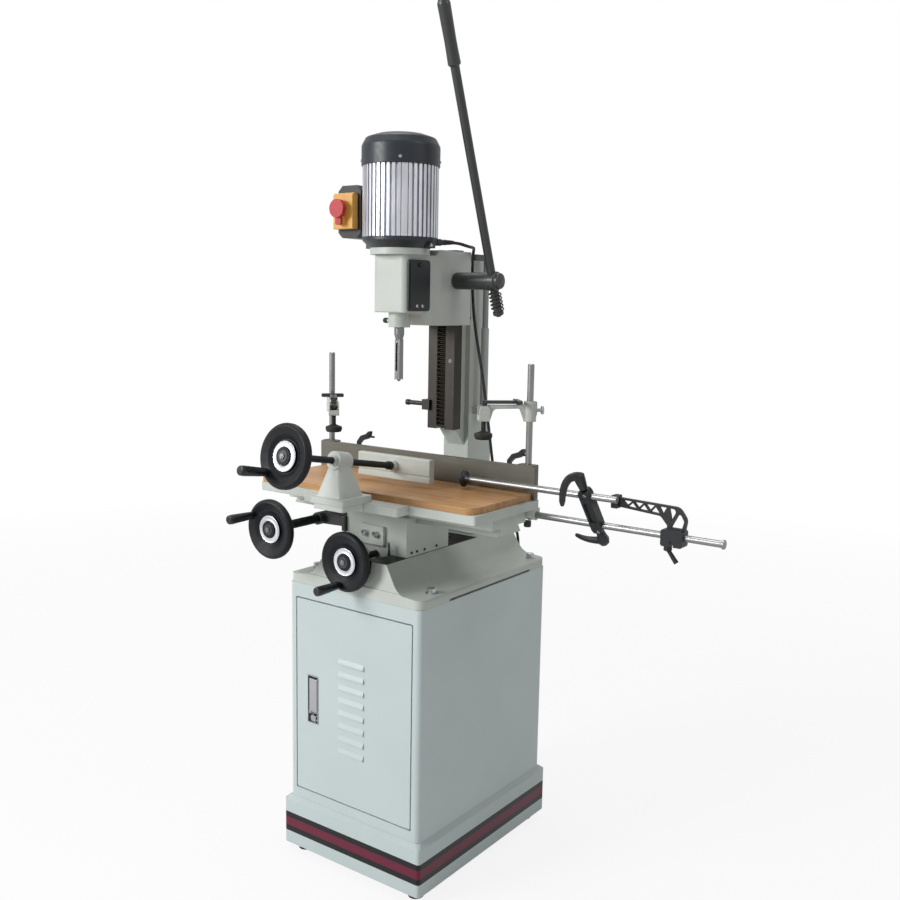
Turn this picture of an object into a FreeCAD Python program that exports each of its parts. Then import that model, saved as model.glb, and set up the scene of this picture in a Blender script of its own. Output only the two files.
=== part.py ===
"""Floor-standing hollow-chisel mortiser on a steel cabinet. Units are millimetres.

The origin is on the floor under the middle of the cabinet. +X is the operator's right hand,
+Y points away from the operator and +Z is up. Every sub-part is a document object whose Label
names its file, and its sizes follow the spreadsheet called dims.
"""
import FreeCAD
import Part
import Sketcher
import math
import os

DOC = FreeCAD.newDocument("mortiser")
SHEET = DOC.addObject("Spreadsheet::Sheet", "dims")

DRIVING_DIMENSIONS = {
    "foot_height": 20.0,
    "foot_radius": 20.0,
    "plinth_width": 400.0,
    "plinth_depth": 513.0,
    "plinth_top": 136.4,
    "plinth_bevel": 9.0,
    "cabinet_width": 380.0,
    "cabinet_depth": 493.0,
    "cabinet_top": 650.0,
    "cabinet_corner": 14.0,
    "sheet_steel": 3.0,
    "door_half_width": 166.0,
    "door_bottom": 163.0,
    "door_top": 615.0,
    "door_seam": 3.0,
    "louvre_pitch": 29.6,
    "louvre_count": 8.0,
    "base_flange_top": 671.0,
    "ridge_half_width": 86.0,
    "ridge_top": 731.0,
    "saddle_top": 819.0,
    "saddle_front": -167.0,
    "saddle_back": -15.0,
    "slide_gap": 0.3,
    "rail_centre": -91.0,
    "rail_bottom": 803.4,
    "table_under": 848.0,
    "table_top": 867.0,
    "board_top": 881.0,
    "table_left": -284.0,
    "table_right": 318.0,
    "table_front": -243.0,
    "table_back": -5.0,
    "wheel_radius": 65.5,
    "wheel_handle_circle": 52.0,
    "screw_radius": 7.0,
    "shaft_play": 0.06,
    "y_screw_height": 729.0,
    "x_shaft_height": 788.0,
    "x_shaft_place": -160.0,
    "x_shaft_radius": 10.0,
    "x_module": 1.5,
    "x_pinion_teeth": 16.0,
    "vice_tilt": 10.0,
    "vice_centre": 18.0,
    "fence_front": -24.0,
    "fence_thickness": 12.0,
    "fence_top": 939.0,
    "post_radius": 7.0,
    "post_line": -8.5,
    "post_top": 1156.0,
    "right_post": 291.0,
    "left_post": -279.0,
    "stop_rod_radius": 7.0,
    "lower_rod_line": -13.6,
    "lower_rod_height": 835.0,
    "upper_rod_line": -66.0,
    "upper_rod_height": 903.0,
    "link_place": 465.0,
    "way_half_width": 38.4,
    "way_front": 62.6,
    "way_back": 90.6,
    "way_bottom": 986.0,
    "way_top": 1400.0,
    "feed_module": 3.0,
    "feed_teeth": 20.0,
    "feed_shaft_height": 1330.0,
    "head_bottom": 1230.0,
    "head_top": 1396.0,
    "head_half_width": 58.0,
    "spindle_line": -94.0,
    "motor_bottom": 1419.0,
    "motor_top": 1569.0,
    "motor_radius": 82.5,
    "fan_cover_top": 1636.0,
    "chisel_square": 13.5,
    "chisel_tip": 1109.0,
    "hub_radius": 19.0,
    "lever_place": 158.0,
    "lever_lean": 20.0,
    "strut_place": 60.0,
    "strut_line": 154.0,
    "cord_radius": 3.5,
}


class Size:
    """A dimension that knows its number and the sheet expression it comes from."""

    def __init__(self, value, text):
        self.value = value
        self.text = text

    def __float__(self):
        return self.value

    def __neg__(self):
        return Size(-self.value, f"(-{self.text})")

    def __add__(self, other):
        return Size(self.value + float(other), f"({self.text} + {text_of(other)})")

    def __radd__(self, other):
        return Size(float(other) + self.value, f"({text_of(other)} + {self.text})")

    def __sub__(self, other):
        return Size(self.value - float(other), f"({self.text} - {text_of(other)})")

    def __rsub__(self, other):
        return Size(float(other) - self.value, f"({text_of(other)} - {self.text})")

    def __mul__(self, other):
        return Size(self.value * float(other), f"({self.text} * {text_of(other)})")

    def __rmul__(self, other):
        return Size(float(other) * self.value, f"({text_of(other)} * {self.text})")

    def __truediv__(self, other):
        return Size(self.value / float(other), f"({self.text} / {text_of(other)})")


def text_of(size):
    """The expression of a size, or the plain number."""
    return size.text if isinstance(size, Size) else f"{float(size):.6f}"


def fill_sheet():
    """One named cell for each driving dimension."""
    for row, (name, value) in enumerate(DRIVING_DIMENSIONS.items(), start=1):
        SHEET.set(f"A{row}", name)
        SHEET.set(f"B{row}", str(value))
        SHEET.setAlias(f"B{row}", name)
    DOC.recompute()


class Dimensions:
    """Reads a cell of the sheet as D.name."""

    def __getattr__(self, name):
        return Size(float(getattr(SHEET, name)), f"dims.{name}")


fill_sheet()
D = Dimensions()
NODES = []


# ---------------------------------------------------------------- drawing helpers

def vector(x, y, z=0.0):
    return FreeCAD.Vector(float(x), float(y), float(z))


def bind(item, name, size):
    """Ties one property to the sheet."""
    item.setExpression(name, text_of(size))


def node(item, name):
    """Marks a finished sub-part, which gets a file of its own."""
    item.Label = name
    NODES.append(item)
    return item


def place(item, x, y, z, axis=(0, 0, 1), angle=0.0):
    """Puts an object at a point, turned about an axis through it."""
    turn = FreeCAD.Rotation(vector(*axis), float(angle))
    item.Placement = FreeCAD.Placement(vector(x, y, z), turn)
    for name, size in (("x", x), ("y", y), ("z", z)):
        bind(item, f"Placement.Base.{name}", size)
    return item


def rect(left, right, low, high, radius=0.0):
    """Corners of a rectangle, rounded when a radius is given."""
    return [(left, low, radius), (right, low, radius), (right, high, radius), (left, high, radius)]


def circle(x, y, radius):
    return ("circle", x, y, radius)


def rounded_corner(before, corner, after, radius):
    """Start, middle and end of the arc that rounds a corner."""
    back = (before - corner).normalize()
    ahead = (after - corner).normalize()
    half = back.getAngle(ahead) / 2
    inward = (back + ahead).normalize()
    centre = corner + inward * (radius / math.sin(half))
    setback = radius / math.tan(half)
    return corner + back * setback, centre - inward * radius, corner + ahead * setback


def outline_edges(points):
    """Lines and tangent arcs of a closed outline; a third value rounds its point."""
    corners = [vector(point[0], point[1]) for point in points]
    pieces = []
    for index, point in enumerate(points):
        corner = corners[index]
        radius = float(point[2]) if len(point) > 2 else 0.0
        if radius > 0:
            following = corners[(index + 1) % len(corners)]
            pieces.append(rounded_corner(corners[index - 1], corner, following, radius))
        else:
            pieces.append((corner, None, corner))
    edges = []
    for index, (start, middle, end) in enumerate(pieces):
        if middle is not None:
            edges.append(Part.Arc(start, middle, end))
        next_start = pieces[(index + 1) % len(pieces)][0]
        if (next_start - end).Length > 1e-6:
            edges.append(Part.LineSegment(end, next_start))
    return edges


PLANES = {"top": ("XY_Plane", 1), "front": ("XZ_Plane", -1), "side": ("YZ_Plane", 1)}


def origin_feature(body, role):
    """One of a body's own origin planes or axes."""
    return next(item for item in body.Origin.OriginFeatures if item.Role == role)


def new_body(name):
    body = DOC.addObject("PartDesign::Body", name)
    body.Label = name + "_body"
    return body


def sketch(body, plane, at, loops):
    """A sketch parallel to one of the body's planes, at a distance along that plane's axis."""
    role, sign = PLANES[plane]
    item = body.newObject("Sketcher::SketchObject", "outline")
    item.AttachmentSupport = [(origin_feature(body, role), "")]
    item.MapMode = "FlatFace"
    bind(item, "AttachmentOffset.Base.z", at * sign)
    for loop in loops:
        if loop[0] == "circle":
            add_circle(item, *loop[1:])
        else:
            item.addGeometry(outline_edges(loop), False)
    return item


def add_circle(item, x, y, radius):
    """A circle whose radius follows the sheet."""
    index = item.addGeometry(Part.Circle(vector(x, y), vector(0, 0, 1), float(radius)), False)
    constraint = item.addConstraint(Sketcher.Constraint("Radius", index, float(radius)))
    bind(item, f"Constraints[{constraint}]", radius)


def pad(body, plane, low, high, *loops):
    """Material between two parallel planes."""
    profile = sketch(body, plane, low, loops)
    item = body.newObject("PartDesign::Pad", "pad")
    item.Profile = profile
    item.Reversed = plane == "front"
    bind(item, "Length", high - low)
    return item


def cut(body, plane, low, high, *loops):
    """Takes material away between two parallel planes."""
    DOC.recompute()
    volume = body.Shape.Volume
    profile = sketch(body, plane, low, loops)
    item = body.newObject("PartDesign::Pocket", "pocket")
    item.Profile = profile
    item.Reversed = plane != "front"
    bind(item, "Length", high - low)
    DOC.recompute()
    if body.Shape.Volume > volume - 1e-3:
        raise ValueError(f"{body.Label}: a pocket cuts nothing")
    return item


def revolve(body, points):
    """A solid of revolution about the body's Z axis from (radius, height) points."""
    profile = sketch(body, "front", 0, [points])
    item = body.newObject("PartDesign::Revolution", "turned")
    item.Profile = profile
    item.ReferenceAxis = (profile, ["V_Axis"])
    item.Angle = 360
    return item


def turned(name, points):
    """A body that is one turned piece."""
    body = new_body(name)
    revolve(body, points)
    return body


def loft(body, low, low_loop, high, high_loop):
    """A smooth taper between two horizontal outlines."""
    first = sketch(body, "top", low, [low_loop])
    second = sketch(body, "top", high, [high_loop])
    item = body.newObject("PartDesign::AdditiveLoft", "taper")
    item.Profile = first
    item.Sections = [second]
    return item


def row(body, features, role, length, count):
    """Repeats features in a straight row."""
    item = body.newObject("PartDesign::LinearPattern", "row")
    item.Originals = features
    item.Direction = (origin_feature(body, role), [""])
    bind(item, "Length", length)
    item.Occurrences = int(count)
    body.Tip = item
    return item


def ring(body, features, count):
    """Repeats features round the body's Z axis."""
    item = body.newObject("PartDesign::PolarPattern", "ring")
    item.Originals = features
    item.Axis = (origin_feature(body, "Z_Axis"), [""])
    item.Angle = 360
    item.Occurrences = int(count)
    body.Tip = item
    return item


def cylinder(name, radius, height):
    item = DOC.addObject("Part::Cylinder", name)
    bind(item, "Radius", radius)
    bind(item, "Height", height)
    return item


def fuse(name, items):
    item = DOC.addObject("Part::MultiFuse", name)
    item.Shapes = items
    return item


def subtract(name, base, tool):
    item = DOC.addObject("Part::Cut", name)
    item.Base = base
    item.Tool = tool
    return item


def group(name, items):
    """Several separate solids in one node."""
    item = DOC.addObject("Part::Compound", name)
    item.Links = items
    return item


# ---------------------------------------------------------------- teeth

PRESSURE = math.tan(math.radians(20))


def rack_teeth(module, first, count, tip, back, play):
    """Outline of a straight rack along the first coordinate, its teeth toward tip."""
    pitch = math.pi * module
    deep = 2.25 * module
    side = 1.0 if back > tip else -1.0
    root = tip + side * deep
    pitch_line = tip + side * module
    half = pitch / 4 - play
    points = [(first - pitch / 2, back), (first - pitch / 2, root)]
    for index in range(count):
        middle = first + index * pitch
        at_root = half + PRESSURE * abs(root - pitch_line)
        at_tip = half - PRESSURE * module
        points += [(middle - at_root, root), (middle - at_tip, tip)]
        points += [(middle + at_tip, tip), (middle + at_root, root)]
    end = first + (count - 0.5) * pitch
    return points + [(end, root), (end, back)]


def gear_outline(module, teeth, play, turn):
    """Outline of a spur gear with straight-flanked teeth, turned by an angle in radians."""
    pitch_radius = module * teeth / 2
    outer = pitch_radius + module
    root = pitch_radius - 1.25 * module
    at_pitch = math.pi / (2 * teeth) - play / pitch_radius
    at_tip = at_pitch - 1.32 * PRESSURE * module / pitch_radius
    at_root = at_pitch + 0.85 * PRESSURE * 1.25 * module / pitch_radius
    points = []
    for index in range(int(teeth)):
        middle = turn + 2 * math.pi * index / teeth
        for radius, angle in ((root, -at_root), (pitch_radius, -at_pitch), (outer, -at_tip),
                              (outer, at_tip), (pitch_radius, at_pitch), (root, at_root)):
            points.append((radius * math.cos(middle + angle), radius * math.sin(middle + angle)))
    return points


# ---------------------------------------------------------------- cabinet

def cabinet_feet():
    """Four rubber feet, slightly conical."""
    feet = []
    for x in (-165, 165):
        for y in (-220, 220):
            foot = DOC.addObject("Part::Cone", "foot")
            bind(foot, "Radius1", D.foot_radius - 3)
            bind(foot, "Radius2", D.foot_radius)
            bind(foot, "Height", D.foot_height)
            feet.append(place(foot, x, y, 0))
    node(group("cabinet_feet", feet), "cabinet_feet")


def cabinet_plinth():
    """Folded steel plinth, closed and hollow, with a bevel round its top."""
    body = new_body("cabinet_plinth")
    half_width = D.plinth_width / 2
    half_depth = D.plinth_depth / 2
    outer = rect(-half_width, half_width, -half_depth, half_depth, 8)
    inner = rect(-half_width + 10, half_width - 10, -half_depth + 10, half_depth - 10, 10)
    pad(body, "top", D.foot_height, D.plinth_top - D.plinth_bevel, outer)
    loft(body, D.plinth_top - D.plinth_bevel, outer, D.plinth_top, inner)
    wall = D.sheet_steel
    cavity = rect(-half_width + wall, half_width - wall, -half_depth + wall, half_depth - wall, 6)
    cut(body, "top", D.foot_height + wall, D.plinth_top - D.plinth_bevel - wall, cavity)
    node(body, "cabinet_plinth")


def cabinet_shell():
    """Sheet-steel cabinet with rounded corners, open at the door."""
    body = new_body("cabinet_shell")
    wall = D.sheet_steel
    half_width = D.cabinet_width / 2
    half_depth = D.cabinet_depth / 2
    corner = D.cabinet_corner
    pad(body, "top", D.plinth_top, D.cabinet_top,
        rect(-half_width, half_width, -half_depth, half_depth, corner))
    cut(body, "top", D.plinth_top + wall, D.cabinet_top - wall,
        rect(-half_width + wall, half_width - wall, -half_depth + wall, half_depth - wall,
             corner - wall))
    reach = D.door_half_width + D.door_seam
    low = D.door_bottom - D.door_seam
    high = D.door_top + D.door_seam
    opening = rect(-reach, reach, low, high, 3)
    cut(body, "front", -half_depth - 1, -half_depth + wall + 1, opening)
    frame = rect(-reach - 2.5, reach + 2.5, low - 2.5, high + 2.5, 5)
    pad(body, "front", -half_depth + 1, -half_depth + 18, frame, opening)
    node(body, "cabinet_shell")


LATCH_LEFT = -133.0
LATCH_RIGHT = -100.0
LATCH_LOW = 328.0
LATCH_HIGH = 441.0


def door_panel():
    """Pressed door: a folded pan with a column of hooded louvres and a latch cut-out."""
    body = new_body("door_panel")
    face = -D.cabinet_depth / 2
    reach = D.door_half_width
    outer = rect(-reach, reach, D.door_bottom, D.door_top, 3)
    inner = rect(-reach + 2.5, reach - 2.5, D.door_bottom + 2.5, D.door_top - 2.5, 1)
    pad(body, "front", face, face + 2.5, outer)
    pad(body, "front", face + 1, face + 13.5, outer, inner)
    cut(body, "front", face - 1, face + 4, rect(LATCH_LEFT, LATCH_RIGHT, LATCH_LOW, LATCH_HIGH, 2))
    low = 279.0
    left, right = -39.0, 35.0
    depth = float(face)
    hood = pad(body, "side", left, right,
               [(depth + 0.5, low + 13), (depth, low + 13), (depth - 3.6, low + 4, 1.5),
                (depth - 4, low), (depth - 2.6, low), (depth + 0.5, low + 9)])
    slot = cut(body, "side", left + 1.5, right - 1.5,
               [(depth - 3, low - 0.1), (depth + 3, low - 0.1), (depth + 3, low + 6.5),
                (depth + 0.2, low + 6.5)])
    length = D.louvre_pitch * (D.louvre_count - 1)
    row(body, [hood, slot], "Z_Axis", length, float(D.louvre_count))
    node(body, "door_panel")


def door_latch():
    """Recessed latch housing with its lock barrel and the catch behind it."""
    body = new_body("door_latch")
    face = -D.cabinet_depth / 2
    gap = 0.3
    hole = rect(LATCH_LEFT + gap, LATCH_RIGHT - gap, LATCH_LOW + gap, LATCH_HIGH - gap, 2)
    recess = rect(LATCH_LEFT + 2, LATCH_RIGHT - 2, LATCH_LOW + 2, LATCH_HIGH - 2, 1.5)
    middle = (LATCH_LEFT + LATCH_RIGHT) / 2
    pad(body, "front", face - 1.2, face + 12, hole)
    cut(body, "front", face - 2, face + 10.5, recess)
    pad(body, "front", face, face + 11, circle(middle, LATCH_LOW + 12, 7.5))
    pad(body, "front", face + 12, face + 15, rect(-160, middle + 6, 388, 400, 3))
    node(body, "door_latch")


def latch_paddle():
    """Pull-out handle of the latch, hung at its top."""
    body = new_body("latch_paddle")
    face = -D.cabinet_depth / 2
    pad(body, "side", LATCH_LEFT + 5, LATCH_RIGHT - 5,
        [(face - 0.5, 352, 2), (face - 0.5, 433, 2), (face + 5.5, 433, 2), (face + 5.5, 356, 2)])
    node(body, "latch_paddle")


# ---------------------------------------------------------------- base, saddle and their screws

def dovetail(half_top, half_bottom, top, bottom):
    """Corners of a dovetail cross-section that widens downward."""
    return [(-half_top, top), (-half_bottom, bottom), (half_bottom, bottom), (half_top, top)]


def base_casting():
    """Ribbed iron base: a bolted flange, concave flanks and a ridge with the Y dovetail."""
    body = new_body("base_casting")
    half_width = D.cabinet_width / 2
    half_depth = D.cabinet_depth / 2
    bottom = D.cabinet_top
    ridge = D.ridge_half_width
    top = D.ridge_top
    right = [(half_width, bottom), (half_width, D.base_flange_top - 1, 5), (126, 674, 42),
             (ridge, top, 4)]
    left = [(-x, *rest) for x, *rest in reversed(right)]
    pad(body, "front", -half_depth, half_depth, right + left)
    plan = rect(-half_width, half_width, -half_depth, half_depth, 20)
    cut(body, "top", bottom - 1, top + 1, rect(-200, 200, -260, 260), plan)
    cut(body, "side", -half_width, half_width,
        [(-250, 676), (-245, 676), (-235, 735), (-250, 735)])
    cut(body, "top", bottom - 1, bottom + 5, rect(-half_width - 1, half_width + 1, -147, 174))
    cut(body, "front", -205, 205, [(-150, bottom - 1), (150, bottom - 1), (118, 664, 25),
                                   (70, 696, 10), (-70, 696, 10), (-118, 664, 25)])
    cut(body, "front", -216, 62, dovetail(40.23, 46.0, top + 1, 705))
    pad(body, "front", -238, -216, rect(-22, 22, 704, 752, 8))
    cut(body, "front", -240, -215, circle(0, D.y_screw_height, D.screw_radius + D.shaft_play))
    cut(body, "front", -217, -208, circle(0, D.y_screw_height, 11.5))
    bolt_holes = [circle(x, y, 7) for x in (-165, 165) for y in (-180, 215)]
    cut(body, "top", bottom - 1, 700, *bolt_holes)
    node(body, "base_casting")


def saddle():
    """Cross slide: dovetail tongue below, dovetail groove and rack slot above."""
    body = new_body("saddle")
    gap = D.slide_gap
    low = D.ridge_top + gap
    half = D.ridge_half_width
    front, back = D.saddle_front, D.saddle_back
    pad(body, "front", front, back,
        [(-half, low), (-39.6, low), (-45.6, 705.3), (45.6, 705.3), (39.6, low), (half, low),
         (half, D.saddle_top, 3), (-half, D.saddle_top, 3)])
    middle = float(D.rail_centre)
    cut(body, "side", -half - 1, half + 1,
        [(middle - 33.4, 820), (middle - 44.05, 803), (middle - 9, 803), (middle - 9, 796, 2),
         (middle + 9, 796, 2), (middle + 9, 803), (middle + 44.05, 803), (middle + 33.4, 820)])
    cut(body, "front", front - 1, back + 1,
        circle(0, D.y_screw_height, D.screw_radius + D.shaft_play))
    pad(body, "front", front - 8, front, rect(-42.6, 26.6, 749.5, 793, 3))
    pad(body, "front", front - 14, front - 8, circle(-24, 775, 6.5), circle(8, 775, 6.5))
    node(body, "saddle")


def x_bearing():
    """Arm on the saddle's left side that carries the table's hand-wheel shaft."""
    body = new_body("x_bearing")
    x = D.x_shaft_place
    z = D.x_shaft_height
    wall = -D.ridge_half_width
    pad(body, "front", -188, -106, circle(x, z, 14.4))
    pad(body, "front", -172, -110, [(x, z - 13.5), (wall - 8, z - 11), (wall - 8, z + 11),
                                    (x, z + 13.5)])
    pad(body, "side", wall - 9, wall, rect(-176, -106, z - 22, 802, 4))
    cut(body, "front", -190, -100, circle(x, z, D.x_shaft_radius + D.shaft_play))
    node(body, "x_bearing")


def wheel_outline(bore, shaft):
    """Half-section of a dished hand wheel with a ring face; bore 0 closes the middle."""
    rim = D.wheel_radius
    face = [(34, -6, 3), (44, -9, 3), (58, -9.5, 4), (rim, -6, 5), (rim, 5, 5), (59, 9, 3),
            (44, 4.5, 4), (35, -1, 2), (30.5, -1), (30.5, 4), (18.5, 4), (18.5, 8, 1.5),
            (bore, 8)]
    return shaft + [(13, -8)] + face


def add_stud(body, right, up):
    """Stud on the wheel's rim that carries the revolving handle."""
    length = math.hypot(right, up)
    reach = D.wheel_handle_circle / length
    pad(body, "top", 2, 73, circle(reach * right, reach * up, 4))


def y_handwheel():
    """Hand wheel and Y feed screw in one piece, with the two thrust collars."""
    radius = D.screw_radius
    shaft = [(0, -298), (radius - 1.5, -298), (radius, -296), (radius, -58), (11, -58),
             (11, -52.3), (radius, -52.3), (radius, -29.7), (11, -29.7), (11, -22), (13, -22, 1)]
    body = turned("y_handwheel", wheel_outline(0, shaft))
    add_stud(body, -0.2, -0.98)
    place(body, 0, -268, D.y_screw_height, (1, 0, 0), 90)
    node(body, "y_handwheel")


def x_handwheel():
    """Hand wheel, long shaft and rack pinion of the table feed in one piece."""
    radius = D.x_shaft_radius
    shaft = [(0, -252), (radius, -252), (radius, -18), (13, -18)]
    body = turned("x_handwheel", wheel_outline(0, shaft))
    add_stud(body, -0.86, 0.51)
    teeth = gear_outline(float(D.x_module), float(D.x_pinion_teeth), 0.08, math.pi / 2)
    pad(body, "top", -249, -233, teeth)
    place(body, D.x_shaft_place, -332, D.x_shaft_height, (1, 0, 0), 90)
    node(body, "x_handwheel")


def revolving_handle(name):
    """Hollow grip that turns on the wheel's stud."""
    bore = 4 + D.shaft_play
    return turned(name, [(bore, 10.5), (8, 10.5, 1), (9, 30, 20), (10.5, 70, 20), (9.5, 80, 3),
                         (0, 80), (0, 74), (bore, 74)])


def wheel_handles():
    """The three revolving handles, each on its wheel's stud."""
    wheels = (("y_handle", 0, -268, D.y_screw_height, 90, -0.2, -0.98),
              ("x_handle", D.x_shaft_place, -332, D.x_shaft_height, 90, -0.86, 0.51),
              ("vice_handle", D.vice_centre, -462, 981, 80, -0.72, -0.69))
    for name, x, y, z, turn, right, up in wheels:
        reach = float(D.wheel_handle_circle) / math.hypot(right, up)
        handle = revolving_handle(name)
        angle = math.radians(turn)
        along_y = reach * up * math.cos(angle)
        along_z = reach * up * math.sin(angle)
        place(handle, x + reach * right, y + along_y, z + along_z, (1, 0, 0), turn)
        node(handle, name)


# ---------------------------------------------------------------- table and vice

def table_casting():
    """Table plate with its front lug, dovetail rail, feed rack and stop-rod socket."""
    body = new_body("table_casting")
    under, top = D.table_under, D.table_top
    left, right = D.table_left, D.table_right
    front, back = D.table_front, D.table_back
    pad(body, "top", under, top,
        [(left, front, 6), (-114, front), (-114, -279, 6), (-24, -279), (-24, -343, 5),
         (60, -343, 5), (60, -279), (150, -279, 6), (150, front), (right, front, 6),
         (right, back, 3), (298, back), (298, 18, 4), (200, 18, 4), (200, back), (-135, back),
         (-135, 18, 4), (-240, 18, 4), (-240, back), (left, back, 3)])
    cut(body, "top", under - 1, under + 7, rect(-30, 66, -350, -281))
    middle = float(D.rail_centre)
    bottom = float(D.rail_bottom)
    pad(body, "side", left + 2, 300,
        [(middle - 62, under + 1), (middle - 62, 819.3), (middle - 33.55, 819.3),
         (middle - 43.45, bottom), (middle + 43.45, bottom), (middle + 33.55, 819.3),
         (middle + 62, 819.3), (middle + 62, under + 1)])
    pitch_line = D.x_shaft_height + D.x_module * D.x_pinion_teeth / 2
    tip = float(pitch_line - D.x_module)
    pitch = math.pi * float(D.x_module)
    first = float(D.x_shaft_place) - 25.5 * pitch
    pad(body, "front", middle - 8, middle + 8,
        rack_teeth(float(D.x_module), first, 56, tip, bottom + 1, 0.08))
    rod_y, rod_z = D.lower_rod_line, D.lower_rod_height
    pad(body, "side", 262, right, [(rod_y - 13, under + 1), (rod_y - 13, rod_z - 6, 8),
                                   (rod_y, rod_z - 13, 9), (rod_y + 13, rod_z - 6, 8),
                                   (rod_y + 13, under + 1)])
    cut(body, "side", 261, right + 1, circle(rod_y, rod_z, D.stop_rod_radius + D.shaft_play))
    node(body, "table_casting")


def table_board():
    """Sacrificial wooden board on the table."""
    body = new_body("table_board")
    front, back = D.table_front, D.fence_front
    pad(body, "top", D.table_top, D.board_top,
        [(D.table_left + 1, front + 3, 6), (D.table_right - 8, front + 3, 22),
         (D.table_right - 8, back - 0.5, 2), (D.table_left + 1, back - 0.5, 2)])
    node(body, "table_board")


def vice_bracket():
    """Flared pedestal with a tilted threaded boss for the vice screw."""
    body = new_body("vice_pedestal")
    pad(body, "top", D.table_top, D.board_top, rect(-28, 64, -347, -256, 5))
    loft(body, D.board_top - 0.5, rect(-18, 54, -342, -270, 8), 950, rect(1, 35, -322, -290, 10))
    tilt = 90 - D.vice_tilt
    lean = math.radians(float(D.vice_tilt))
    boss = cylinder("vice_boss", 20, 38)
    start = 19 * math.cos(lean)
    rise = 19 * math.sin(lean)
    place(boss, D.vice_centre, -306 + start, 953.5 - rise, (1, 0, 0), tilt)
    bush = cylinder("vice_bush", 11, 50)
    place(bush, D.vice_centre, -306 + start * 25 / 19, 953.5 - rise * 25 / 19, (1, 0, 0), tilt)
    bore = cylinder("vice_bore", D.screw_radius + D.shaft_play, 80)
    place(bore, D.vice_centre, -306 + start * 40 / 19, 953.5 - rise * 40 / 19, (1, 0, 0), tilt)
    whole = fuse("vice_bracket_casting", [body, boss, bush])
    node(subtract("vice_bracket", whole, bore), "vice_bracket")


def vice_handwheel():
    """Vice wheel and its long screw, tilted down toward the fence."""
    radius = D.screw_radius
    shaft = [(0, -336), (5, -336), (5, -324), (9.5, -324, 1), (9.5, -314, 1), (radius, -314),
             (radius, -20), (13, -20, 1)]
    body = turned("vice_handwheel", wheel_outline(0, shaft))
    add_stud(body, -0.72, -0.69)
    place(body, D.vice_centre, -462, 981, (1, 0, 0), 90 - D.vice_tilt)
    node(body, "vice_handwheel")


def vice_jaw():
    """Jaw plate with a grooved face and a tilted swivel socket on its back."""
    body = new_body("jaw_plate")
    pad(body, "side", -85, 118,
        [(-131.5, 893, 2), (-131.5, 904), (-129, 906), (-129, 908), (-131.5, 910),
         (-131.5, 945, 2), (-114.5, 945, 2), (-114.5, 893, 2)])
    lean = math.radians(float(D.vice_tilt))
    socket = cylinder("jaw_socket", 13, 22)
    wheel_y, wheel_z = -462, 981
    mouth = 325.0

    def along(distance):
        """A point on the vice axis, measured from the wheel toward the fence."""
        return wheel_y + distance * math.cos(lean), wheel_z - distance * math.sin(lean)

    tilt = 90 - D.vice_tilt
    end_y, end_z = along(mouth + 22)
    place(socket, D.vice_centre, end_y, end_z, (1, 0, 0), tilt)
    bore = cylinder("jaw_bore", 5 + D.shaft_play, 20)
    bore_y, bore_z = along(mouth + 11.6)
    place(bore, D.vice_centre, bore_y, bore_z, (1, 0, 0), tilt)
    whole = fuse("jaw_casting", [body, socket])
    node(subtract("vice_jaw", whole, bore), "vice_jaw")


# ---------------------------------------------------------------- fence and hold-downs

LOCK_LINE = 8.0
LOCK_PLACES = {"left": -205.0, "right": 232.0}


def fence():
    """Ground fence with end blocks for the hold-down posts and slotted clamping feet."""
    body = new_body("fence")
    front = D.fence_front
    back = front + D.fence_thickness
    low = D.table_top + D.slide_gap
    pad(body, "top", low, D.fence_top, rect(-302, D.table_right, front, back, 1.5))
    for post in (D.left_post, D.right_post):
        pad(body, "top", low, D.fence_top + 2, rect(post - 21, post + 21, front + 2, 2.5, 5))
        cut(body, "top", 885, D.fence_top + 3,
            circle(post, D.post_line, D.post_radius + D.shaft_play))
    for lock in LOCK_PLACES.values():
        pad(body, "top", low, 877, rect(lock - 30, lock + 30, back - 1, 17, 5))
        cut(body, "top", low - 1, 878, rect(lock - 5.2, lock + 5.2, -7, 13.4, 5))
    node(body, "fence")


def fence_locks():
    """Two clamping levers behind the fence: a hub, a bent stem and a flat paddle with its pin."""
    for side, x in LOCK_PLACES.items():
        name = "fence_lock_" + side
        hub = turned(name + "_hub", [(0, 851), (4.8, 851), (4.8, 877.3), (9, 877.3), (9, 903, 2),
                                     (6.5, 907, 2), (0, 907)])
        paddle = new_body(name + "_paddle")
        pad(paddle, "front", -5, 5,
            [(-3.5, 902), (3.5, 902), (3.5, 937), (12, 946, 3), (29, 951, 4), (37, 960, 4),
             (38.5, 970, 1), (33, 970, 1), (25, 963, 4), (8, 957, 4), (-3.5, 943)])
        pad(paddle, "side", 33, 48, circle(0, 957, 2.5))
        whole = fuse(name, [hub, paddle])
        place(whole, x, LOCK_LINE, 0)
        node(whole, name)


def table_lock_holes():
    """Threads in the table's rear lugs for the two fence levers, cut as plain bores."""
    table = next(item for item in NODES if item.Label == "table_casting")
    cut(table, "top", D.table_under - 1, D.table_top + 1,
        *[circle(lock, LOCK_LINE, 4.8 + D.shaft_play) for lock in LOCK_PLACES.values()])


def hold_post(name, x):
    """Bright post of a hold-down."""
    body = turned(name, [(0, 0), (D.post_radius, 0), (D.post_radius, D.post_top - 886, 1.5),
                         (0, D.post_top - 886)])
    place(body, x, D.post_line, 886)
    node(body, name)


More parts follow.
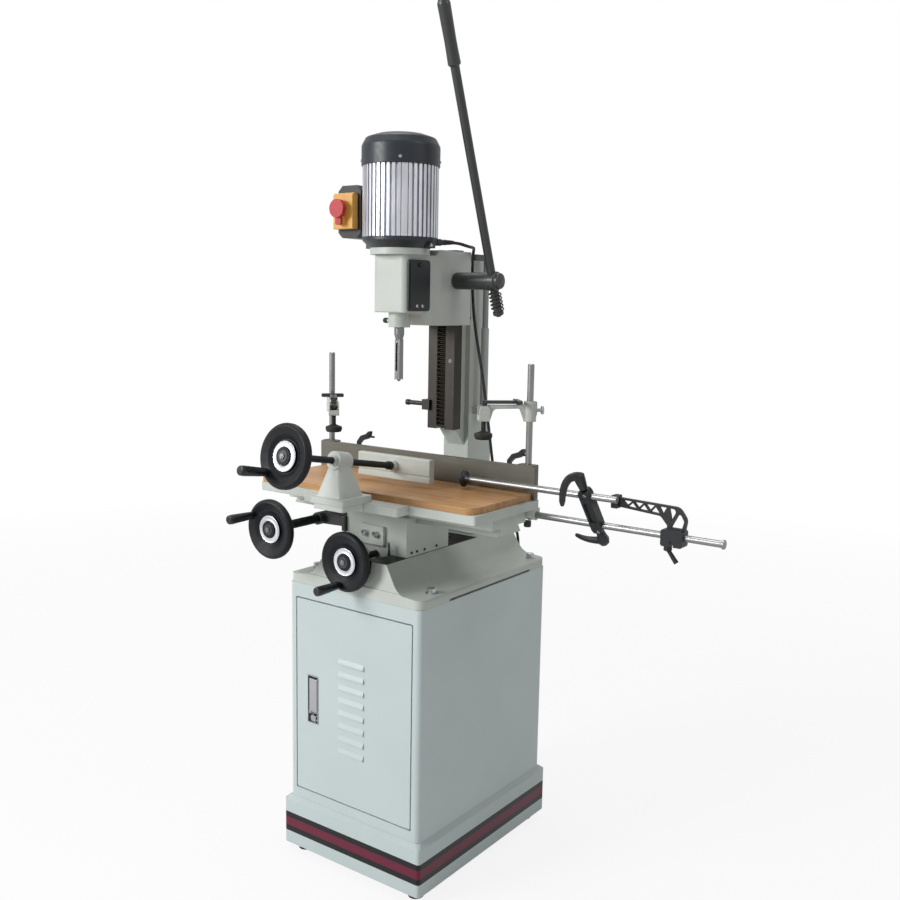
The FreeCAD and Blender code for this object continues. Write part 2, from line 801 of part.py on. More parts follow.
def hold_arm(name, x, base, angle):
    """Cast hold-down arm in its own frame: the post at the origin, the arm along +X."""
    body = new_body(name)
    pad(body, "front", -7, 7,
        [(-14, 2, 2), (-8, -14, 3), (12, -14, 3), (22, 14, 8), (80, 13, 10), (88, -13, 3),
         (112, -13, 3), (112, 18, 6), (100, 21.4, 6), (60, 21, 20), (14, 21.5, 4), (10, 29, 3),
         (-14, 29, 3)])
    pad(body, "top", -14, 29, circle(0, 0, 13.5))
    pad(body, "front", -12, 12, rect(88, 112, -13, -0.4, 3))
    pad(body, "front", -12, 12, [(88, -1), (112, -1), (112, 12), (108, 20, 6), (92, 20, 6),
                                 (88, 12)])
    cut(body, "front", -5, 5, rect(84, 116, -0.4, 30))
    cut(body, "front", -9, 9, rect(90, 116, -0.4, 30))
    cut(body, "top", -20, 35, circle(0, 0, D.post_radius + D.shaft_play))
    cut(body, "top", -14, 1, circle(100, 0, 5 + D.shaft_play))
    pad(body, "front", -10, 10, circle(100, 12, 3))
    pad(body, "side", -26, -12, circle(0, 10, 4))
    pad(body, "side", -29, -25, circle(0, 10, 9))
    place(body, x, D.post_line, base, (0, 0, 1), angle)
    node(body, name)


def hold_cam(name, x, base, angle):
    """Eccentric cam with a flat lever and a cross handle, lying back along the arm."""
    body = new_body(name)
    bore = 3 + D.shaft_play
    pad(body, "front", -4.5, 4.5, circle(100, 8, 8))
    pad(body, "front", -4.5, 4.5, [(93, 8), (104, 8), (104, 30, 4), (93, 30)])
    pad(body, "front", -8, 8, [(24, 24), (104, 24, 3), (104, 30.5, 3), (24, 30.5)])
    pad(body, "side", 22, 32, rect(-27, 27, 23.5, 32, 3.5))
    cut(body, "front", -9, 9, circle(100, 12, bore))
    place(body, x, D.post_line, base, (0, 0, 1), angle)
    node(body, name)


def hold_foot(name, x, base, angle):
    """Plunger of a hold-down with its rubber-faced round foot."""
    body = turned(name, [(0, -52), (17, -52, 2), (19.5, -46, 2), (19.5, -40, 2), (9, -36, 3),
                         (5, -34), (5, -0.6), (0, -0.6)])
    reach = math.radians(float(angle))
    place(body, x + 100 * math.cos(reach), D.post_line + 100 * math.sin(reach), base)
    node(body, name)


def hold_downs():
    """Two hold-downs, each with its post, arm, cam and foot."""
    for side, x, base, angle in (("left", D.left_post, 1026, -45), ("right", D.right_post, 1048, -135)):
        hold_post("hold_post_" + side, x)
        hold_arm("hold_arm_" + side, x, base, angle)
        hold_cam("hold_cam_" + side, x, base, angle)
        hold_foot("hold_foot_" + side, x, base, angle)


# ---------------------------------------------------------------- length stops

def stop_rod_lower():
    """Long bright rod in the table's socket, headed at its outer end."""
    body = turned("stop_rod_lower",
                  [(0, 0), (D.stop_rod_radius, 0), (D.stop_rod_radius, 553), (9.5, 553, 1),
                   (9.5, 558, 1), (0, 558)])
    place(body, 180, D.lower_rod_line, D.lower_rod_height, (0, 1, 0), 90)
    node(body, "stop_rod_lower")


def stop_rod_upper():
    """Bright stop rod with a round pad at its inner end."""
    body = turned("stop_rod_upper",
                  [(0, 0), (15, 0, 2), (18, 3, 2), (18, 7, 2), (9, 12, 2), (9, 24, 2),
                   (D.stop_rod_radius, 24), (D.stop_rod_radius, 375, 1), (0, 375)])
    place(body, 159, D.upper_rod_line, D.upper_rod_height, (0, 1, 0), 90)
    node(body, "stop_rod_upper")


def link_frame():
    """Middle of the two stop rods, their spacing and the slant of the line between them."""
    across = float(D.lower_rod_line - D.upper_rod_line)
    down = float(D.upper_rod_height - D.lower_rod_height)
    middle_y = (float(D.lower_rod_line) + float(D.upper_rod_line)) / 2
    middle_z = (float(D.lower_rod_height) + float(D.upper_rod_height)) / 2
    spacing = math.hypot(across, down)
    return middle_y, middle_z, spacing, math.degrees(math.atan2(across, down))


def stop_link():
    """Slanted clamp bar that joins the two rods; its length runs along its own Z."""
    middle_y, middle_z, spacing, slant = link_frame()
    body = new_body("stop_link")
    half = spacing / 2
    bore = D.stop_rod_radius + D.shaft_play
    pad(body, "front", -10, 10,
        [(-9, half + 18, 3), (-12.5, half + 10, 4), (-12.5, -half - 10, 4), (-9, -half - 18, 3),
         (9, -half - 18, 3), (12.5, -half - 10, 4), (12.5, half + 10, 4), (9, half + 18, 3)])
    cut(body, "side", -13, 13, circle(0, half, bore), circle(0, -half, bore))
    cut(body, "front", -11, -7, rect(-7, 7, -half + 14, half - 14, 4))
    place(body, D.link_place, middle_y, middle_z, (1, 0, 0), slant)
    node(body, "stop_link")


def stop_lever(name, up, tip):
    """Clamping lever on an end of the link: a hub on the link's axis and a tapered handle."""
    middle_y, middle_z, spacing, slant = link_frame()
    end = spacing / 2 + 18.4
    hub_points = [(0, 0), (5, 0), (5, 4), (9, 6, 2), (10, 26, 3), (0, 26)]
    if not up:
        hub_points = [(x, -z, *rest) for x, z, *rest in hub_points]
        end = -end
    hub = turned(name + "_hub", hub_points)
    place(hub, 0, 0, end)
    start = vector(0, 0, end + (22 if up else -18))
    handle = DOC.addObject("Part::Cone", name + "_handle")
    direction = vector(*tip) - start
    bind(handle, "Radius1", 6.5)
    bind(handle, "Radius2", 5)
    bind(handle, "Height", direction.Length)
    handle.Placement = FreeCAD.Placement(start, FreeCAD.Rotation(vector(0, 0, 1), direction))
    whole = fuse(name, [hub, handle])
    place(whole, D.link_place, middle_y, middle_z, (1, 0, 0), slant)
    node(whole, name)


def truss_arm():
    """Lattice arm on the lower rod: two chords, zigzag webs and a clamp block."""
    body = new_body("truss_arm")
    line = D.lower_rod_line
    outer = [(512, 899, 2), (644, 895, 20), (661, 872, 18), (655, 836), (618, 836),
             (620, 856, 6), (605, 873, 10), (512, 880, 2)]
    windows = lattice_windows()
    pad(body, "front", line - 4, line + 4, outer, *windows)
    pad(body, "front", line - 9, line + 9, rect(498, 514, 876, 903, 3))
    pad(body, "front", line - 14, line + 14, rect(611, 657, 816, 850, 5))
    cut(body, "side", 610, 658,
        circle(line, D.lower_rod_height, D.stop_rod_radius + D.shaft_play))
    cut(body, "front", line - 15, line + 15, rect(630, 638, 815, 829, 1))
    node(body, "truss_arm")


def lattice_windows():
    """Triangles between the chords of the arm, each a bay of the zigzag."""
    left, right = 519.0, 606.0
    bays = 6
    step = (right - left) / (bays + 1)
    web = 2.2

    def top(x):
        return 895.0 - (x - 512.0) * 4.0 / 132.0

    def bottom(x):
        return 884.0 - (x - 512.0) * 7.0 / 93.0

    windows = []
    for bay in range(bays):
        x0 = left + bay * step + web
        x1 = left + (bay + 2) * step - web
        middle = (x0 + x1) / 2
        if bay % 2 == 0:
            windows.append([(x0, top(x0)), (x1, top(x1)), (middle, bottom(middle) + web)])
        else:
            windows.append([(x0, bottom(x0)), (x1, bottom(x1)), (middle, top(middle) - web)])
    windows.append([(600.5, 892), (617, 891.5), (609.5, 877)])
    windows.append([(622, 891), (640, 890, 6), (628, 866)])
    windows.append([(645, 886, 5), (655, 868, 5), (651, 853), (628, 853), (631, 859)])
    return windows


def truss_lever():
    """Small clamping lever under the lattice arm's block."""
    hub = turned("truss_lever_hub", [(0, 815.6), (8, 815.6), (8.5, 806, 2), (0, 803)])
    place(hub, 0, 0, 0)
    handle = DOC.addObject("Part::Cone", "truss_lever_handle")
    bind(handle, "Radius1", 4)
    bind(handle, "Radius2", 5)
    bind(handle, "Height", 32)
    place(handle, 0, 0, 808, (0, 1, 0), 142)
    whole = fuse("truss_lever", [hub, handle])
    place(whole, 622, D.lower_rod_line, 0)
    node(whole, "truss_lever")


# ---------------------------------------------------------------- column

def column():
    """Cast column: a flanged foot, a deep pedestal and a post with a neck for the way."""
    body = new_body("column")
    foot = D.ridge_top
    pad(body, "top", foot, foot + 20, rect(-65, 65, 112, 236, 10))
    pad(body, "side", -36, 36,
        [(127, foot + 10), (127, 1390), (177, 1390, 6), (177, 1016, 40), (222, 985, 30),
         (222, foot + 10)])
    pad(body, "side", -24, 24,
        [(D.way_back, D.way_bottom), (D.way_back, 1390), (130, 1390), (130, 940)])
    pad(body, "top", 1019, 1034, rect(34, 71, 143, 165, 5))
    cut(body, "top", foot + 30, 985, rect(-26, 26, 140, 210, 8))
    node(body, "column")


def column_way():
    """Ground way plate with a central groove for the rack."""
    body = new_body("column_way")
    half = D.way_half_width
    front, back = D.way_front, D.way_back
    pad(body, "top", D.way_bottom, D.way_top,
        [(-half, front, 1.5), (-12.2, front), (-12.2, back - 9), (12.2, back - 9),
         (12.2, front), (half, front, 1.5), (half, back), (-half, back)])
    node(body, "column_way")


def feed_rack():
    """Rack in the way's groove; its teeth face the operator."""
    body = new_body("feed_rack")
    module = float(D.feed_module)
    tip = float(D.way_front)
    back = float(D.way_back) - 9
    pitch = math.pi * module
    first = float(D.feed_shaft_height) - 35.5 * pitch
    teeth = rack_teeth(module, first, 42, tip, back, 0.12)
    pad(body, "side", -12, 12, [(y, z) for z, y in teeth])
    node(body, "feed_rack")


def strut_rod():
    """Polished rod of the gas strut, standing on the column's bracket."""
    body = turned("strut_rod", [(0, 0), (5, 0), (5, 198, 1), (0, 198)])
    place(body, D.strut_place, D.strut_line, 1034)
    node(body, "strut_rod")


def depth_stop():
    """Clamp on the way's left edge with the rod that sets the depth of cut."""
    body = new_body("depth_stop")
    left = -D.way_half_width
    gap = D.slide_gap
    front, back = D.way_front, D.way_back
    pad(body, "top", 1029, 1053,
        [(-51, front - 8, 3), (-28, front - 8, 1), (-28, front - gap), (left - gap, front - gap),
         (left - gap, back + gap), (-30, back + gap), (-30, back + 7, 1), (-51, back + 7, 3)])
    pad(body, "side", -110, -50, circle(76.6, 1041, 5.5))
    pad(body, "side", -112, -104, circle(76.6, 1041, 7))
    node(body, "depth_stop")


# ---------------------------------------------------------------- head

def head_casting():
    """Sliding head: a spindle nose in front, a wide slide behind that wraps the way."""
    body = new_body("head_casting")
    half = D.head_half_width
    low, high = D.head_bottom, D.head_top
    motor = D.spindle_line
    gap = D.slide_gap
    pad(body, "top", low, high,
        [(-46.4, -132.4, 14), (46.4, -132.4, 14), (46.4, -42, 16), (half, -22, 16),
         (half, 98, 6), (-half, 98, 6), (-half, -22, 16), (-46.4, -42, 16)])
    profile = [(-132.4, low + 28, 3), (-62, low + 28, 12), (-46, low, 8), (98, low, 4),
               (98, high, 8), (-26, high, 6), (-30, high - 13, 6), (-132.4, high - 13, 4)]
    cut(body, "side", -half - 1, half + 1,
        [(-150, low - 5), (110, low - 5), (110, high + 5), (-150, high + 5)], profile)
    pad(body, "top", high - 14, high, circle(0, motor, 65))
    pad(body, "top", low - 4, low + 29, circle(0, motor, 24))
    pad(body, "side", -34, -20, circle(motor, low + 10, 4))
    way = D.way_half_width + gap
    cut(body, "top", low - 1, high + 1,
        rect(-way, way, D.way_front - gap, D.way_back + gap))
    cut(body, "top", low - 1, high + 1, rect(-24 - gap, 24 + gap, D.way_back - 1, 99))
    pinion_y = D.way_front + D.feed_module - D.feed_module * D.feed_teeth / 2
    height = D.feed_shaft_height
    cut(body, "side", -13, 13, circle(pinion_y, height, 35))
    cut(body, "side", -13, 13, rect(pinion_y, D.way_front, height - 30, height + 30))
    cut(body, "side", -46, half + 1, circle(pinion_y, height, 10 + D.shaft_play))
    cut(body, "top", low + 36, high - 22, rect(-26, 26, motor - 30, motor + 30, 8))
    cut(body, "side", 20, 50, rect(motor - 26, motor + 30, low + 42, high - 30, 6))
    cut(body, "top", low - 5, low + 37, circle(0, motor, 9.5 + D.shaft_play))
    cut(body, "top", high - 23, high + 1, circle(0, motor, 8 + D.shaft_play))
    node(body, "head_casting")


def chuck_cover():
    """Removable black cover over the chuck's opening."""
    body = new_body("chuck_cover")
    side = 46.4
    pad(body, "side", side, side + 3.2, rect(-125, -49, 1262, 1372, 8))
    pad(body, "side", side + 3, side + 4.6, rect(-120, -54, 1267, 1367, 5))
    node(body, "chuck_cover")


def motor_flange():
    """Tapered end bell of the motor with the cord's gland on its right."""
    bell = turned("motor_flange_bell",
                  [(8 + D.shaft_play, D.head_top), (65, D.head_top), (82, 1411, 2),
                   (82, D.motor_bottom), (8 + D.shaft_play, D.motor_bottom)])
    place(bell, 0, D.spindle_line, 0)
    gland = turned("motor_gland", [(0, 66), (7.5, 66), (7.5, 88), (6, 91, 1), (6, 97, 1), (0, 97)])
    place(gland, 0, D.spindle_line, GLAND_HEIGHT, (0.59, -0.807, 0), -90)
    node(fuse("motor_flange", [bell, gland]), "motor_flange")


GLAND_HEIGHT = 1411.0


def motor_body():
    """Extruded aluminium motor barrel with radial fins and four plain corner strips."""
    body = new_body("motor_body")
    pad(body, "top", D.motor_bottom, D.motor_top, fin_outline())
    cut(body, "top", D.motor_bottom - 1, D.motor_top - 10, circle(0, 0, 8 + D.shaft_play))
    place(body, 0, D.spindle_line, 0)
    node(body, "motor_body")


def fin_outline():
    """Fins and grooves round the barrel, with a wide fin at each 45 degree corner."""
    outer = float(D.motor_radius)
    root = outer - 9.0
    fins = 44
    points = []
    for index in range(fins):
        middle = 2 * math.pi * (index + 0.5) / fins
        corner = index % 11 == 5
        half = (0.56 if corner else 0.29) * 2 * math.pi / fins
        for radius, angle in ((root, -half - 0.006), (outer, -half), (outer, half),
                              (root, half + 0.006)):
            points.append((radius * math.cos(middle + angle), radius * math.sin(middle + angle)))
    return points


def fan_cover():
    """Pressed fan cowl with a sloped shoulder and air slots in its crown."""
    low, high = D.motor_top, D.fan_cover_top
    body = turned("fan_cover",
                  [(83, low), (85, low, 0.5), (85, high - 25, 12), (76, high - 8, 8),
                   (52, high, 6), (0, high), (0, high - 2.5), (51, high - 2.5, 4),
                   (74, high - 10, 6), (83, high - 26, 10)])
    slot = cut(body, "top", high - 12, high + 1, rect(14, 46, -2.5, 2.5, 2.4))
    ring(body, [slot], 16)
    place(body, 0, D.spindle_line, 0)
    node(body, "fan_cover")


def spindle_auger():
    """Motor shaft with the cooling fan, the chuck and the auger bit, all on one axis."""
    motor = D.motor_bottom
    body = turned("spindle_auger",
                  [(0, 1106), (4.6, 1109), (4.6, 1275), (10, 1290, 2), (20, 1296, 2),
                   (20, 1335, 2), (14, 1345, 2), (8, 1346), (8, motor + 139.5),
                   (4, motor + 139.5), (4, 1571), (6, 1571), (6, 1576), (60, 1576), (60, 1578),
                   (6, 1578), (6, 1600), (0, 1600)])
    blade = pad(body, "top", 1577, 1598, rect(14, 66, -1, 1))
    ring(body, [blade], 8)
    place(body, 0, D.spindle_line, 0)
    node(body, "spindle_auger")


def motor_shaft_hole():
    """Opens the motor's upper end for the fan's thin shaft."""
    motor = next(item for item in NODES if item.Label == "motor_body")
    cut(motor, "top", D.motor_top - 11, D.motor_top + 1, circle(0, 0, 4 + D.shaft_play))


def chisel():
    """Hollow square chisel with a turned shank, an ejection slot and hollow-ground points."""
    half = D.chisel_square / 2
    tip = D.chisel_tip
    body = new_body("chisel")
    revolve(body, [(0, 1196), (half, 1196), (11, 1210, 2), (11, 1225.4), (9.5, 1225.4),
                   (9.5, 1262, 1), (0, 1262)])
    pad(body, "top", tip, 1200, rect(-half, half, -half, half))
    cut(body, "top", tip - 1, 1263, circle(0, 0, 5))
    cut(body, "front", -10, 0, rect(-4, 4, 1128, 1192, 3.9))
    grind = body.newObject("PartDesign::SubtractiveCone", "hollow_grind")
    grind.Radius1 = 10.5
    grind.Radius2 = 4.5
    grind.Height = 7
    grind.AttachmentOffset = FreeCAD.Placement(vector(0, 0, float(tip) - 1.0), FreeCAD.Rotation())
    grind.AttachmentSupport = [(origin_feature(body, "XY_Plane"), "")]
    grind.MapMode = "FlatFace"
    place(body, 0, D.spindle_line, 0)
    node(body, "chisel")


def strut_tube():
    """Cylinder of the gas strut with the lug that hangs it from the head."""
    body = new_body("strut_tube")
    x, y = D.strut_place, D.strut_line
    pad(body, "top", 1190, 1396, circle(x, y, 7))
    pad(body, "top", 1378, 1392, rect(54, 68, 98, y + 9, 5))
    cut(body, "top", 1189, 1386, circle(x, y, 5 + D.shaft_play))
    node(body, "strut_tube")


# ---------------------------------------------------------------- feed pinion and lever

def pinion_place():
    """Where the feed pinion's axis crosses the head, seen from the side."""
    radius = D.feed_module * D.feed_teeth / 2
    return D.way_front + D.feed_module - radius, D.feed_shaft_height


def feed_pinion():
    """Pinion and its shaft in one piece."""
    y, z = pinion_place()
    body = new_body("feed_pinion")
    teeth = gear_outline(float(D.feed_module), float(D.feed_teeth), 0.12, -math.pi)
    pad(body, "top", -11, 11, teeth)
    pad(body, "top", -44, 57.6, circle(0, 0, 10))
    place(body, 0, y, z, (0, 1, 0), 90)
    node(body, "feed_pinion")


def feed_hub():
    """Long lever hub outside the head, cross-bored for the lever."""
    y, z = pinion_place()
    body = turned("feed_hub", [(0, 58.3), (17, 58.3, 2), (19, 62, 2), (19, 146, 1), (21, 147),
                               (21, 170, 2), (17.5, 172), (17.5, 180, 3), (0, 182)])
    cut(body, "side", -30, 30, circle(0, D.lever_place, 9.6))
    lean = D.lever_lean
    body.Placement = FreeCAD.Placement(vector(0, y, z), lever_turn(float(lean)) *
                                       FreeCAD.Rotation(vector(0, 1, 0), 90))
    node(body, "feed_hub")


def lever_turn(lean):
    """Leans the lever toward the operator about the pinion's axis."""
    return FreeCAD.Rotation(vector(1, 0, 0), lean)


def feed_lever():
    """Long feed lever: threaded lower end with its nut, plain rod and a moulded grip."""
    y, z = pinion_place()
    body = turned("feed_lever",
                  [(0, -82), (6, -82, 1), (6, -78), (12, -78, 1), (12, -70, 1), (9.5, -70),
                   (9.5, 452), (13.5, 456, 3), (12.5, 500, 60), (13.5, 572, 10), (9, 582, 4),
                   (0, 582)])
    place(body, D.lever_place, y, z, (1, 0, 0), D.lever_lean)
    node(body, "feed_lever")


def lever_spring():
    """Coil spring on the lever's lower end; it keeps the clutch pin engaged."""
    y, z = pinion_place()
    pitch, height, radius, wire = 8.5, 42.0, 13.0, 1.6
    helix = Part.makeHelix(pitch, height, radius)
    section = Part.Wire(Part.Circle(vector(radius, 0, 0), vector(0, 1, 0), wire).toShape())
    coil = Part.Wire(helix.Edges).makePipeShell([section], True, True)
    spring = DOC.addObject("Part::Feature", "lever_spring")
    spring.Shape = coil
    lean = math.radians(float(D.lever_lean))
    below = 67.0
    place(spring, D.lever_place, y + below * math.sin(lean), z - below * math.cos(lean),
          (1, 0, 0), D.lever_lean)
    node(spring, "lever_spring")


# ---------------------------------------------------------------- switch

def switch_box():
    """Black switch box on the motor's left with cut corners and its mounting web."""
    body = new_body("switch_box")
    pad(body, "front", -128, -62,
        [(-150, 1431), (-138, 1419.5), (-96, 1419.5), (-84, 1431), (-84, 1521), (-96, 1533),
         (-138, 1533), (-150, 1521)])
    pad(body, "side", -85, -78, rect(-110, -78, 1440, 1510, 3))
    cut(body, "top", 1415, 1540, circle(0, D.spindle_line, D.motor_radius + 0.4))
    cut(body, "front", -129, -114, circle(-121, 1487, 9 + D.shaft_play))
    node(body, "switch_box")


def start_button():
    """Green start button under the flap."""
    body = turned("start_button", [(0, 0), (9, 0), (9, 13, 1), (7.5, 14), (0, 14)])
    place(body, -121, -119, 1487, (1, 0, 0), 90)
    node(body, "start_button")


def switch_flap():
    """Yellow stop flap with its big round paddle, hung at the top of the box."""
    body = new_body("switch_flap")
    front, back = -146.0, -128.4
    pad(body, "side", -149, -93,
        [(front, 1438, 2), (front, 1512, 2), (front + 6, 1516, 3), (back - 5, 1516, 3),
         (back, 1511, 1), (back, 1438, 1)])
    cut(body, "front", back - 13, back + 1, rect(-143, -99, 1446, 1507, 3))
    pad(body, "front", front - 10, front + 1, circle(-121, 1479, 14))
    pad(body, "front", front - 22, front - 9, circle(-121, 1481, 20))
    pad(body, "front", front - 16, front + 1, rect(-129, -113, 1446, 1468, 4))
    node(body, "switch_flap")


# ---------------------------------------------------------------- mains lead

CORD_ROUTE = [
    (78.35, -36.72, 1411), (100.15, -20.78, 1411), (106, 12, 1415), (98, 46, 1417),
    (77, 74, 1415), (50, 99, 1407), (42, 120, 1382), (42.5, 123, 1328),
    (52, 115, 1262), (66, 112, 1195), (82, 112, 1125),
    (96, 110, 1055), (106, 112, 985), (114, 117, 915), (117, 128, 850), (113, 154, 796),
    (109, 194, 760), (103, 240, 742), (97, 270, 696), (91, 276, 615), (85, 273, 530),
    (78, 275, 445), (72, 272, 360), (65, 275, 275), (60, 277, 195), (57, 284, 130),
    (50, 300, 72), (30, 330, 30), (-12, 356, 4.5), (-57, 366, 4.0),
]
COIL_CENTRE = (-48.0, 405.0)
COIL_RADIUS = 40.0
COIL_BUNDLE = 9.0


def cord_wire(points):
    """Straight runs joined by tangent arcs, as large as the runs beside them allow."""
    corners = [vector(*point) for point in points]
    edges = []
    radii = []
    start = corners[0]
    for index in range(1, len(corners) - 1):
        before, corner, after = corners[index - 1:index + 2]
        back = (before - corner).normalize()
        ahead = (after - corner).normalize()
        shorter = min((before - corner).Length, (after - corner).Length)
        turn = math.pi - back.getAngle(ahead)
        radius = 0.45 * shorter / math.tan(turn / 2)
        radii.append(radius)
        first, middle, last = rounded_corner(before, corner, after, radius)
        edges.append(Part.LineSegment(start, first).toShape())
        edges.append(Part.Arc(first, middle, last).toShape())
        start = last
    edges.append(Part.LineSegment(start, corners[-1]).toShape())
    print("cord radii, smallest:", round(min(radii), 1))
    return Part.Wire(edges)


def power_cord():
    """Plain tube of the mains lead from the motor's gland to the coil on the floor."""
    wire = cord_wire(CORD_ROUTE)
    radius = float(D.cord_radius)
    direction = vector(*CORD_ROUTE[1]) - vector(*CORD_ROUTE[0])
    section = Part.Wire(Part.Circle(vector(*CORD_ROUTE[0]), direction, radius).toShape())
    tube = wire.makePipeShell([section], True, False)
    cord = DOC.addObject("Part::Feature", "power_cord")
    cord.Shape = tube
    expected = math.pi * radius ** 2 * wire.Length
    print("cord length", round(wire.Length), "volume ratio", round(tube.Volume / expected, 4))
    place(cord, 0, 0, 0)
    node(cord, "power_cord")


def cord_coil():
    """Outer shape of the coil of spare lead behind the cabinet."""
    coil = DOC.addObject("Part::Torus", "cord_coil")
    bind(coil, "Radius1", COIL_RADIUS)
    bind(coil, "Radius2", COIL_BUNDLE)
    place(coil, COIL_CENTRE[0], COIL_CENTRE[1], COIL_BUNDLE + 0.1)
    node(coil, "cord_coil")


def cord_plug():
    """Two-pin mains plug lying beside the coil."""
    shell = turned("plug_shell", [(0, 0), (5, 0, 1), (6, 18, 4), (16, 30, 6), (18, 48, 2),
                                  (0, 48)])
    pins = []
    for x in (-9.5, 9.5):
        pin = cylinder("plug_pin", 2.4, 20)
        place(pin, x, 0, 47)
        pins.append(pin)
    whole = fuse("cord_plug", [shell] + pins)
    place(whole, COIL_CENTRE[0] - COIL_RADIUS - 6, COIL_CENTRE[1], 18.3, (1, 0, 0), -90)
    node(whole, "cord_plug")


# ---------------------------------------------------------------- build and export

def build():
    cabinet_feet()
    cabinet_plinth()
    cabinet_shell()
    door_panel()
    door_latch()
    latch_paddle()
    base_casting()
    saddle()
    x_bearing()
    y_handwheel()
    x_handwheel()
    wheel_handles()
    table_casting()
    table_board()
    vice_bracket()
    vice_handwheel()
    vice_jaw()
    fence()
    fence_locks()
    table_lock_holes()
    hold_downs()
    stop_rod_lower()
    stop_rod_upper()
    stop_link()
    stop_lever("stop_lever_top", True, (-17, -38, 46))
    stop_lever("stop_lever_low", False, (-66, 8, -70))
    truss_arm()
    truss_lever()
    column()
    column_way()
    feed_rack()
    strut_rod()
    depth_stop()
    head_casting()
    chuck_cover()
    motor_flange()
    motor_body()
    fan_cover()
    spindle_auger()
    motor_shaft_hole()
    chisel()
    strut_tube()
    feed_pinion()
    feed_hub()
    feed_lever()
    lever_spring()
    switch_box()
    start_button()
    switch_flap()
    power_cord()
    cord_coil()
    cord_plug()
    DOC.recompute()


def check():
    """Stops before anything is written if an object failed."""
    for item in DOC.Objects:
        if "Invalid" in item.State or "Error" in item.State:
            raise ValueError(f"{item.Label} failed: {item.State}")
    for item in NODES:
        if item.Shape.isNull() or not item.Shape.isValid():
            raise ValueError(f"{item.Label} has no valid shape")


def export():
    os.makedirs("parts", exist_ok=True)
    for item in NODES:
        item.Shape.exportStep(os.path.join("parts", item.Label + ".step"))
    print(len(NODES), "sub-parts written")


build()
check()
export()
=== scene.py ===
"""Looks of the mortiser: finishes, fasteners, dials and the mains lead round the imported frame.

The frame's own axes are kept: +X the operator's right, +Y away, +Z up. Points, profiles and
sizes of pieces are in millimetres unless a name or comment says otherwise.
"""
import math

import bmesh
import bpy
from mathutils import Matrix, Vector


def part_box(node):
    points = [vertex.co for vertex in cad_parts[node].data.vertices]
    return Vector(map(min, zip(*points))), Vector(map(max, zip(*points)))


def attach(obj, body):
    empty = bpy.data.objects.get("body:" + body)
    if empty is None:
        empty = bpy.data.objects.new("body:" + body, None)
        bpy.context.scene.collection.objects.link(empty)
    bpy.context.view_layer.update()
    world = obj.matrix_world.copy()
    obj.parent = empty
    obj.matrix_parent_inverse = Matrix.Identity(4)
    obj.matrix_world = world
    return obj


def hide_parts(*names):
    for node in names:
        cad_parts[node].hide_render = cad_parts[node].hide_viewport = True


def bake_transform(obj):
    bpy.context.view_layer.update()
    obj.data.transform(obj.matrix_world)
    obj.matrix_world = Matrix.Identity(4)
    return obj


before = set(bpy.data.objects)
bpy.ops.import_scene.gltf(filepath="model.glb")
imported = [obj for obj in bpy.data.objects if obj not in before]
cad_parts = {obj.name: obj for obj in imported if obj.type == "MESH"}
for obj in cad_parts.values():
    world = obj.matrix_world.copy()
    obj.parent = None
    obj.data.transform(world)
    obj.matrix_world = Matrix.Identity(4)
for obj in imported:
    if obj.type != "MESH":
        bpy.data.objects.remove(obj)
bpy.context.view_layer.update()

MM = 0.001

RIGHT, LEFT = (1, 0, 0), (-1, 0, 0)
BACK, FRONT = (0, 1, 0), (0, -1, 0)
UP, DOWN = (0, 0, 1), (0, 0, -1)


def mm(*values):
    """A point given in millimetres, in metres."""
    return Vector([value * MM for value in values])


def srgb(red, green, blue):
    """A colour as the eye names it, in the linear numbers that shaders take."""
    def linear(value):
        share = value / 255
        return share / 12.92 if share <= 0.04045 else ((share + 0.055) / 1.055) ** 2.4
    return (linear(red), linear(green), linear(blue), 1.0)


def darker(colour, share):
    """A colour with its light cut to a share."""
    return (colour[0] * share, colour[1] * share, colour[2] * share, 1.0)


# ------------------------------------------------------------------ camera

CAMERA_PLACE = mm(1443.0, -1871.6, 1287.5)
CAMERA_YAW = math.radians(36.15)
CAMERA_PITCH = math.radians(8.29)
CAMERA_ROLL = math.radians(1.007)
CAMERA_LENS = 41.21
SENSOR_WIDTH = 36.0
CLIP_METRES = (0.05, 60.0)


def add_camera():
    """The camera at the photograph's place, looking toward the column and slightly down."""
    forward = Vector((-math.sin(CAMERA_YAW) * math.cos(CAMERA_PITCH),
                      math.cos(CAMERA_YAW) * math.cos(CAMERA_PITCH), -math.sin(CAMERA_PITCH)))
    level = Vector((math.cos(CAMERA_YAW), math.sin(CAMERA_YAW), 0))
    upright = level.cross(forward)
    right = math.cos(CAMERA_ROLL) * level + math.sin(CAMERA_ROLL) * upright
    up = math.cos(CAMERA_ROLL) * upright - math.sin(CAMERA_ROLL) * level
    data = bpy.data.cameras.new("photo_camera")
    data.lens = CAMERA_LENS
    data.sensor_width = SENSOR_WIDTH
    data.clip_start, data.clip_end = CLIP_METRES
    camera = bpy.data.objects.new("photo_camera", data)
    bpy.context.scene.collection.objects.link(camera)
    turn = Matrix((right, up, -forward)).transposed()
    camera.matrix_world = Matrix.Translation(CAMERA_PLACE) @ turn.to_4x4()
    bpy.context.scene.camera = camera


# ------------------------------------------------------------------ material nodes

def math_node(tree, operation, first, second):
    """A socket worked out from a socket and another socket or number."""
    item = tree.nodes.new("ShaderNodeMath")
    item.operation = operation
    tree.links.new(first, item.inputs[0])
    if isinstance(second, bpy.types.NodeSocket):
        tree.links.new(second, item.inputs[1])
    else:
        item.inputs[1].default_value = second
    return item.outputs["Value"]


